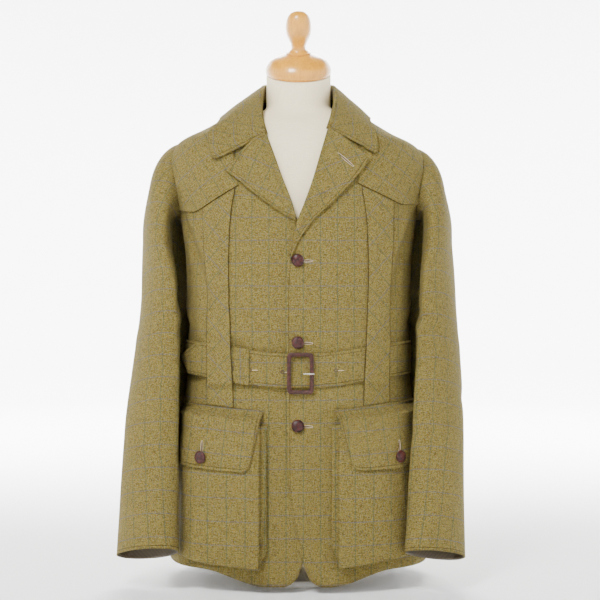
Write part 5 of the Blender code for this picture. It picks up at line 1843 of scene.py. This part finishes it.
@dataclass
class DressForm:
    """The form: linen covered torso and neck, beech cap and finial, stem and base.

    Attributes:
        maker: Builds the pieces and hands them over.
        cap: Radius and height of each row of the cap.
        finial: The same of the finial.
        base: The same of the base.
        stem: The same of the stem.
    """

    maker: Maker
    cap: tuple = ((0.0535, 0.0000), (0.0547, 0.0008), (0.0552, 0.0022), (0.0554, 0.0060), (0.0550, 0.0085),
                  (0.0538, 0.0120), (0.0515, 0.0160), (0.0480, 0.0205), (0.0435, 0.0245), (0.0380, 0.0282),
                  (0.0320, 0.0311), (0.0265, 0.0332), (0.0228, 0.0345), (0.0205, 0.0352))
    finial: tuple = ((0.0204, 0.0000), (0.0210, 0.0007), (0.0207, 0.0016), (0.0180, 0.0026), (0.0146, 0.0042),
                     (0.0124, 0.0062), (0.0117, 0.0090), (0.0121, 0.0125), (0.0137, 0.0172), (0.0162, 0.0222),
                     (0.0186, 0.0275), (0.0203, 0.0330), (0.0213, 0.0390), (0.0215, 0.0450), (0.0208, 0.0520),
                     (0.0192, 0.0582), (0.0165, 0.0636), (0.0128, 0.0678), (0.0084, 0.0706), (0.0038, 0.0718))
    base: tuple = ((0.1130, 0.0000), (0.1145, 0.0006), (0.1150, 0.0020), (0.1150, 0.0075), (0.1138, 0.0098),
                   (0.1100, 0.0110), (0.0700, 0.0136), (0.0300, 0.0160), (0.0235, 0.0180), (0.0205, 0.0210),
                   (0.0200, 0.0240))
    stem: tuple = ((0.0119, 0.0244), (0.0125, 0.0250), (0.0125, 0.1990), (0.0119, 0.1996))

    def build(self) -> None:
        """Make the form and what it stands on."""
        self.torso()
        axis = Vector((0, -math.sin(CAP_TILT), math.cos(CAP_TILT)))
        for name, profile, gap in (("neck_cap", self.cap, SEAM), ("finial", self.finial, 0.0352 + 2 * SEAM)):
            move = Matrix.Translation(Vector((0, 0, NECK_TOP)) + axis * gap) @ Matrix.Rotation(CAP_TILT, 4, "X")
            self.maker.finish(self.maker.spun(name + "_turned", profile, 72, move), Finish.BEECH, (name,))
        self.maker.finish(self.maker.spun("base_disc", self.base, 96), Finish.ENAMEL, ("base",))
        self.maker.finish(self.maker.spun("stem_tube", self.stem, 48), Finish.STEEL, ("stem",))

    def torso(self) -> None:
        """The linen covered torso and neck, closed above and below."""
        low, shoulder = 0.200, 0.640
        rows = np.concatenate([[low, low], np.linspace(low + 0.012, shoulder, 40), np.linspace(0.648, 0.800, 44),
                               np.linspace(0.8045, NECK_TOP, 16), [NECK_TOP]])
        last = len(rows) - 1

        def place(s: Array, t: Array) -> Array:
            """Points of the torso and the neck.

            Args:
                s: Shares across the grid.
                t: Shares up the grid.

            Returns:
                Points of the grid.
            """
            turn = 2 * math.pi * s
            row = np.rint(t * last).astype(int)
            height = rows[row]
            c, sn = np.cos(turn), np.sin(turn)
            inset = 0.012 * (row == 1) + 0.004 * (row == 2)
            depth = np.where(c > 0, FORM["front"](height), FORM["back"](height)) - inset
            half = FORM["half_width"](height) - inset
            lower = np.stack([half * sn * (1 + SQUARE * c * c), -depth * c * (1 + SQUARE * sn * sn), height], -1)
            away = CLOTH + 0.0034 + 0.0060 * (1 - ease(height, 0.66, 0.735))
            middle = ring(turn, height) - outward(turn, height) * away[..., None]
            middle[..., 0] *= 1 - 0.12 * ease(np.abs(sn), 0.6, 1) * (1 - ease(height, 0.66, 0.735))
            neck = np.stack([NECK_RADIUS * sn, -NECK_RADIUS * c, height], -1)
            middle = middle + (neck - middle) * ease(height, 0.762, 0.792)[..., None]
            upper = neck.copy()
            upper[..., 2] += neck[..., 1] * math.tan(CAP_TILT) * ease(height, NECK_START, NECK_TOP)
            spots = np.where((height <= shoulder)[..., None], lower, middle)
            spots = np.where((height > NECK_START)[..., None], upper, spots)
            closed = ((row == 0) | (row == last))[..., None]
            return np.where(closed, np.stack([0 * turn, 0 * turn, height], -1), spots)

        piece, _ = self.maker.grid("form_linen", (128, last), place)
        self.maker.finish(piece, Finish.LINEN, ("form_torso",))


@dataclass
class Studio:
    """The pale floor that rises all round, the soft lights and the camera.

    Attributes:
        maker: Builds the floor and knows where the jacket's axis stands.
        lens: Focal length that gives the photograph's field of view on a 36 mm sensor.
        eye: Place of the camera from the jacket's axis.
        glow: Strength of the white world.
        floor: Radius and height of each row of the floor's rise.
        lights: Name, place, aim, size and power of each soft light.
    """

    maker: Maker
    lens: float = 84.96
    eye: tuple[float, float, float] = (0.0025, -2.4, 0.465)
    glow: float = 0.12
    floor: tuple = ((4.2, 0.0), (4.9, 0.12), (5.5, 0.50), (5.9, 1.2), (6.1, 2.2), (6.2, 5.0))
    lights: tuple = (
        ("key", (-1.0, -2.2, 2.8), (0, 0, 0.5), 0.9, 134.0), ("fill", (2.4, -2.6, 1.0), (0, 0, 0.5), 1.8, 3.0),
        ("sweep", (0, 3.4, 3.2), (0, 2.0, 0), 2.4, 360.0), ("rim", (1.6, 2.4, 1.9), (0, 0, 0.5), 1.4, 12.0),
        ("wall_left", (-2.2, 1.6, 2.2), (-1.2, 6.0, 0.6), 2.0, 720.0),
        ("wall_right", (2.2, 1.6, 2.2), (1.2, 6.0, 0.6), 2.0, 720.0),
    )

    def build(self) -> None:
        """Set up the floor, the lights, the world and the camera."""
        mesh = bmesh.new()
        line = [mesh.verts.new((radius, 0, height)) for radius, height in ((0.0, 0.0), *self.floor)]
        edges = [mesh.edges.new(pair) for pair in zip(line, line[1:])]
        bmesh.ops.spin(mesh, geom=line + edges, cent=(0, 0, 0), axis=(0, 0, 1), dvec=(0, 0, 0),
                       angle=2 * math.pi, steps=96, use_merge=True, use_duplicate=False)
        bmesh.ops.remove_doubles(mesh, verts=mesh.verts, dist=1e-6)
        floor = self.maker.link("studio_floor", mesh, 80)
        floor.data.materials.append(Plain("matt_white_paper", "#fbfbfb", "#f7f7f7", 0.9, 0.0, 20.0).material())
        for name, place, aim, size, power in self.lights:
            light = bpy.data.lights.new(name, "AREA")
            light.size, light.energy = size, power
            lamp = bpy.data.objects.new(name, light)
            lamp.location = place
            lamp.rotation_euler = (Vector(aim) - Vector(place)).to_track_quat("-Z", "Y").to_euler()
            bpy.context.scene.collection.objects.link(lamp)
        world = bpy.data.worlds.new("studio")
        world.use_nodes = True
        world.node_tree.nodes["Background"].inputs[0].default_value = linear("#ffffff")
        world.node_tree.nodes["Background"].inputs[1].default_value = self.glow
        bpy.context.scene.world = world
        camera = bpy.data.objects.new("camera", bpy.data.cameras.new("camera"))
        camera.data.lens, camera.data.sensor_width = self.lens, 36.0
        camera.location = Vector(self.maker.shift) + Vector(self.eye)
        camera.rotation_euler = (SIDE, 0, 0)
        bpy.context.scene.collection.objects.link(camera)
        bpy.context.scene.camera = camera


def main() -> None:
    """Load the solids and dress them."""
    logging.basicConfig(level=logging.INFO, format="%(message)s")
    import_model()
    low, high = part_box("stem")
    maker = Maker(np.array([(low[0] + high[0]) / 2, (low[1] + high[1]) / 2, 0.0]))
    Studio(maker).build()
    DressForm(maker).build()
    Coat(maker).build()
    Sleeves(maker).build()
    Revers(maker).build()
    Belt(maker).build()
    pockets = Pockets(maker)
    pockets.build()
    Fastenings(maker, pockets).build()
    bpy.context.view_layer.update()


if __name__ == "__main__":
    main()
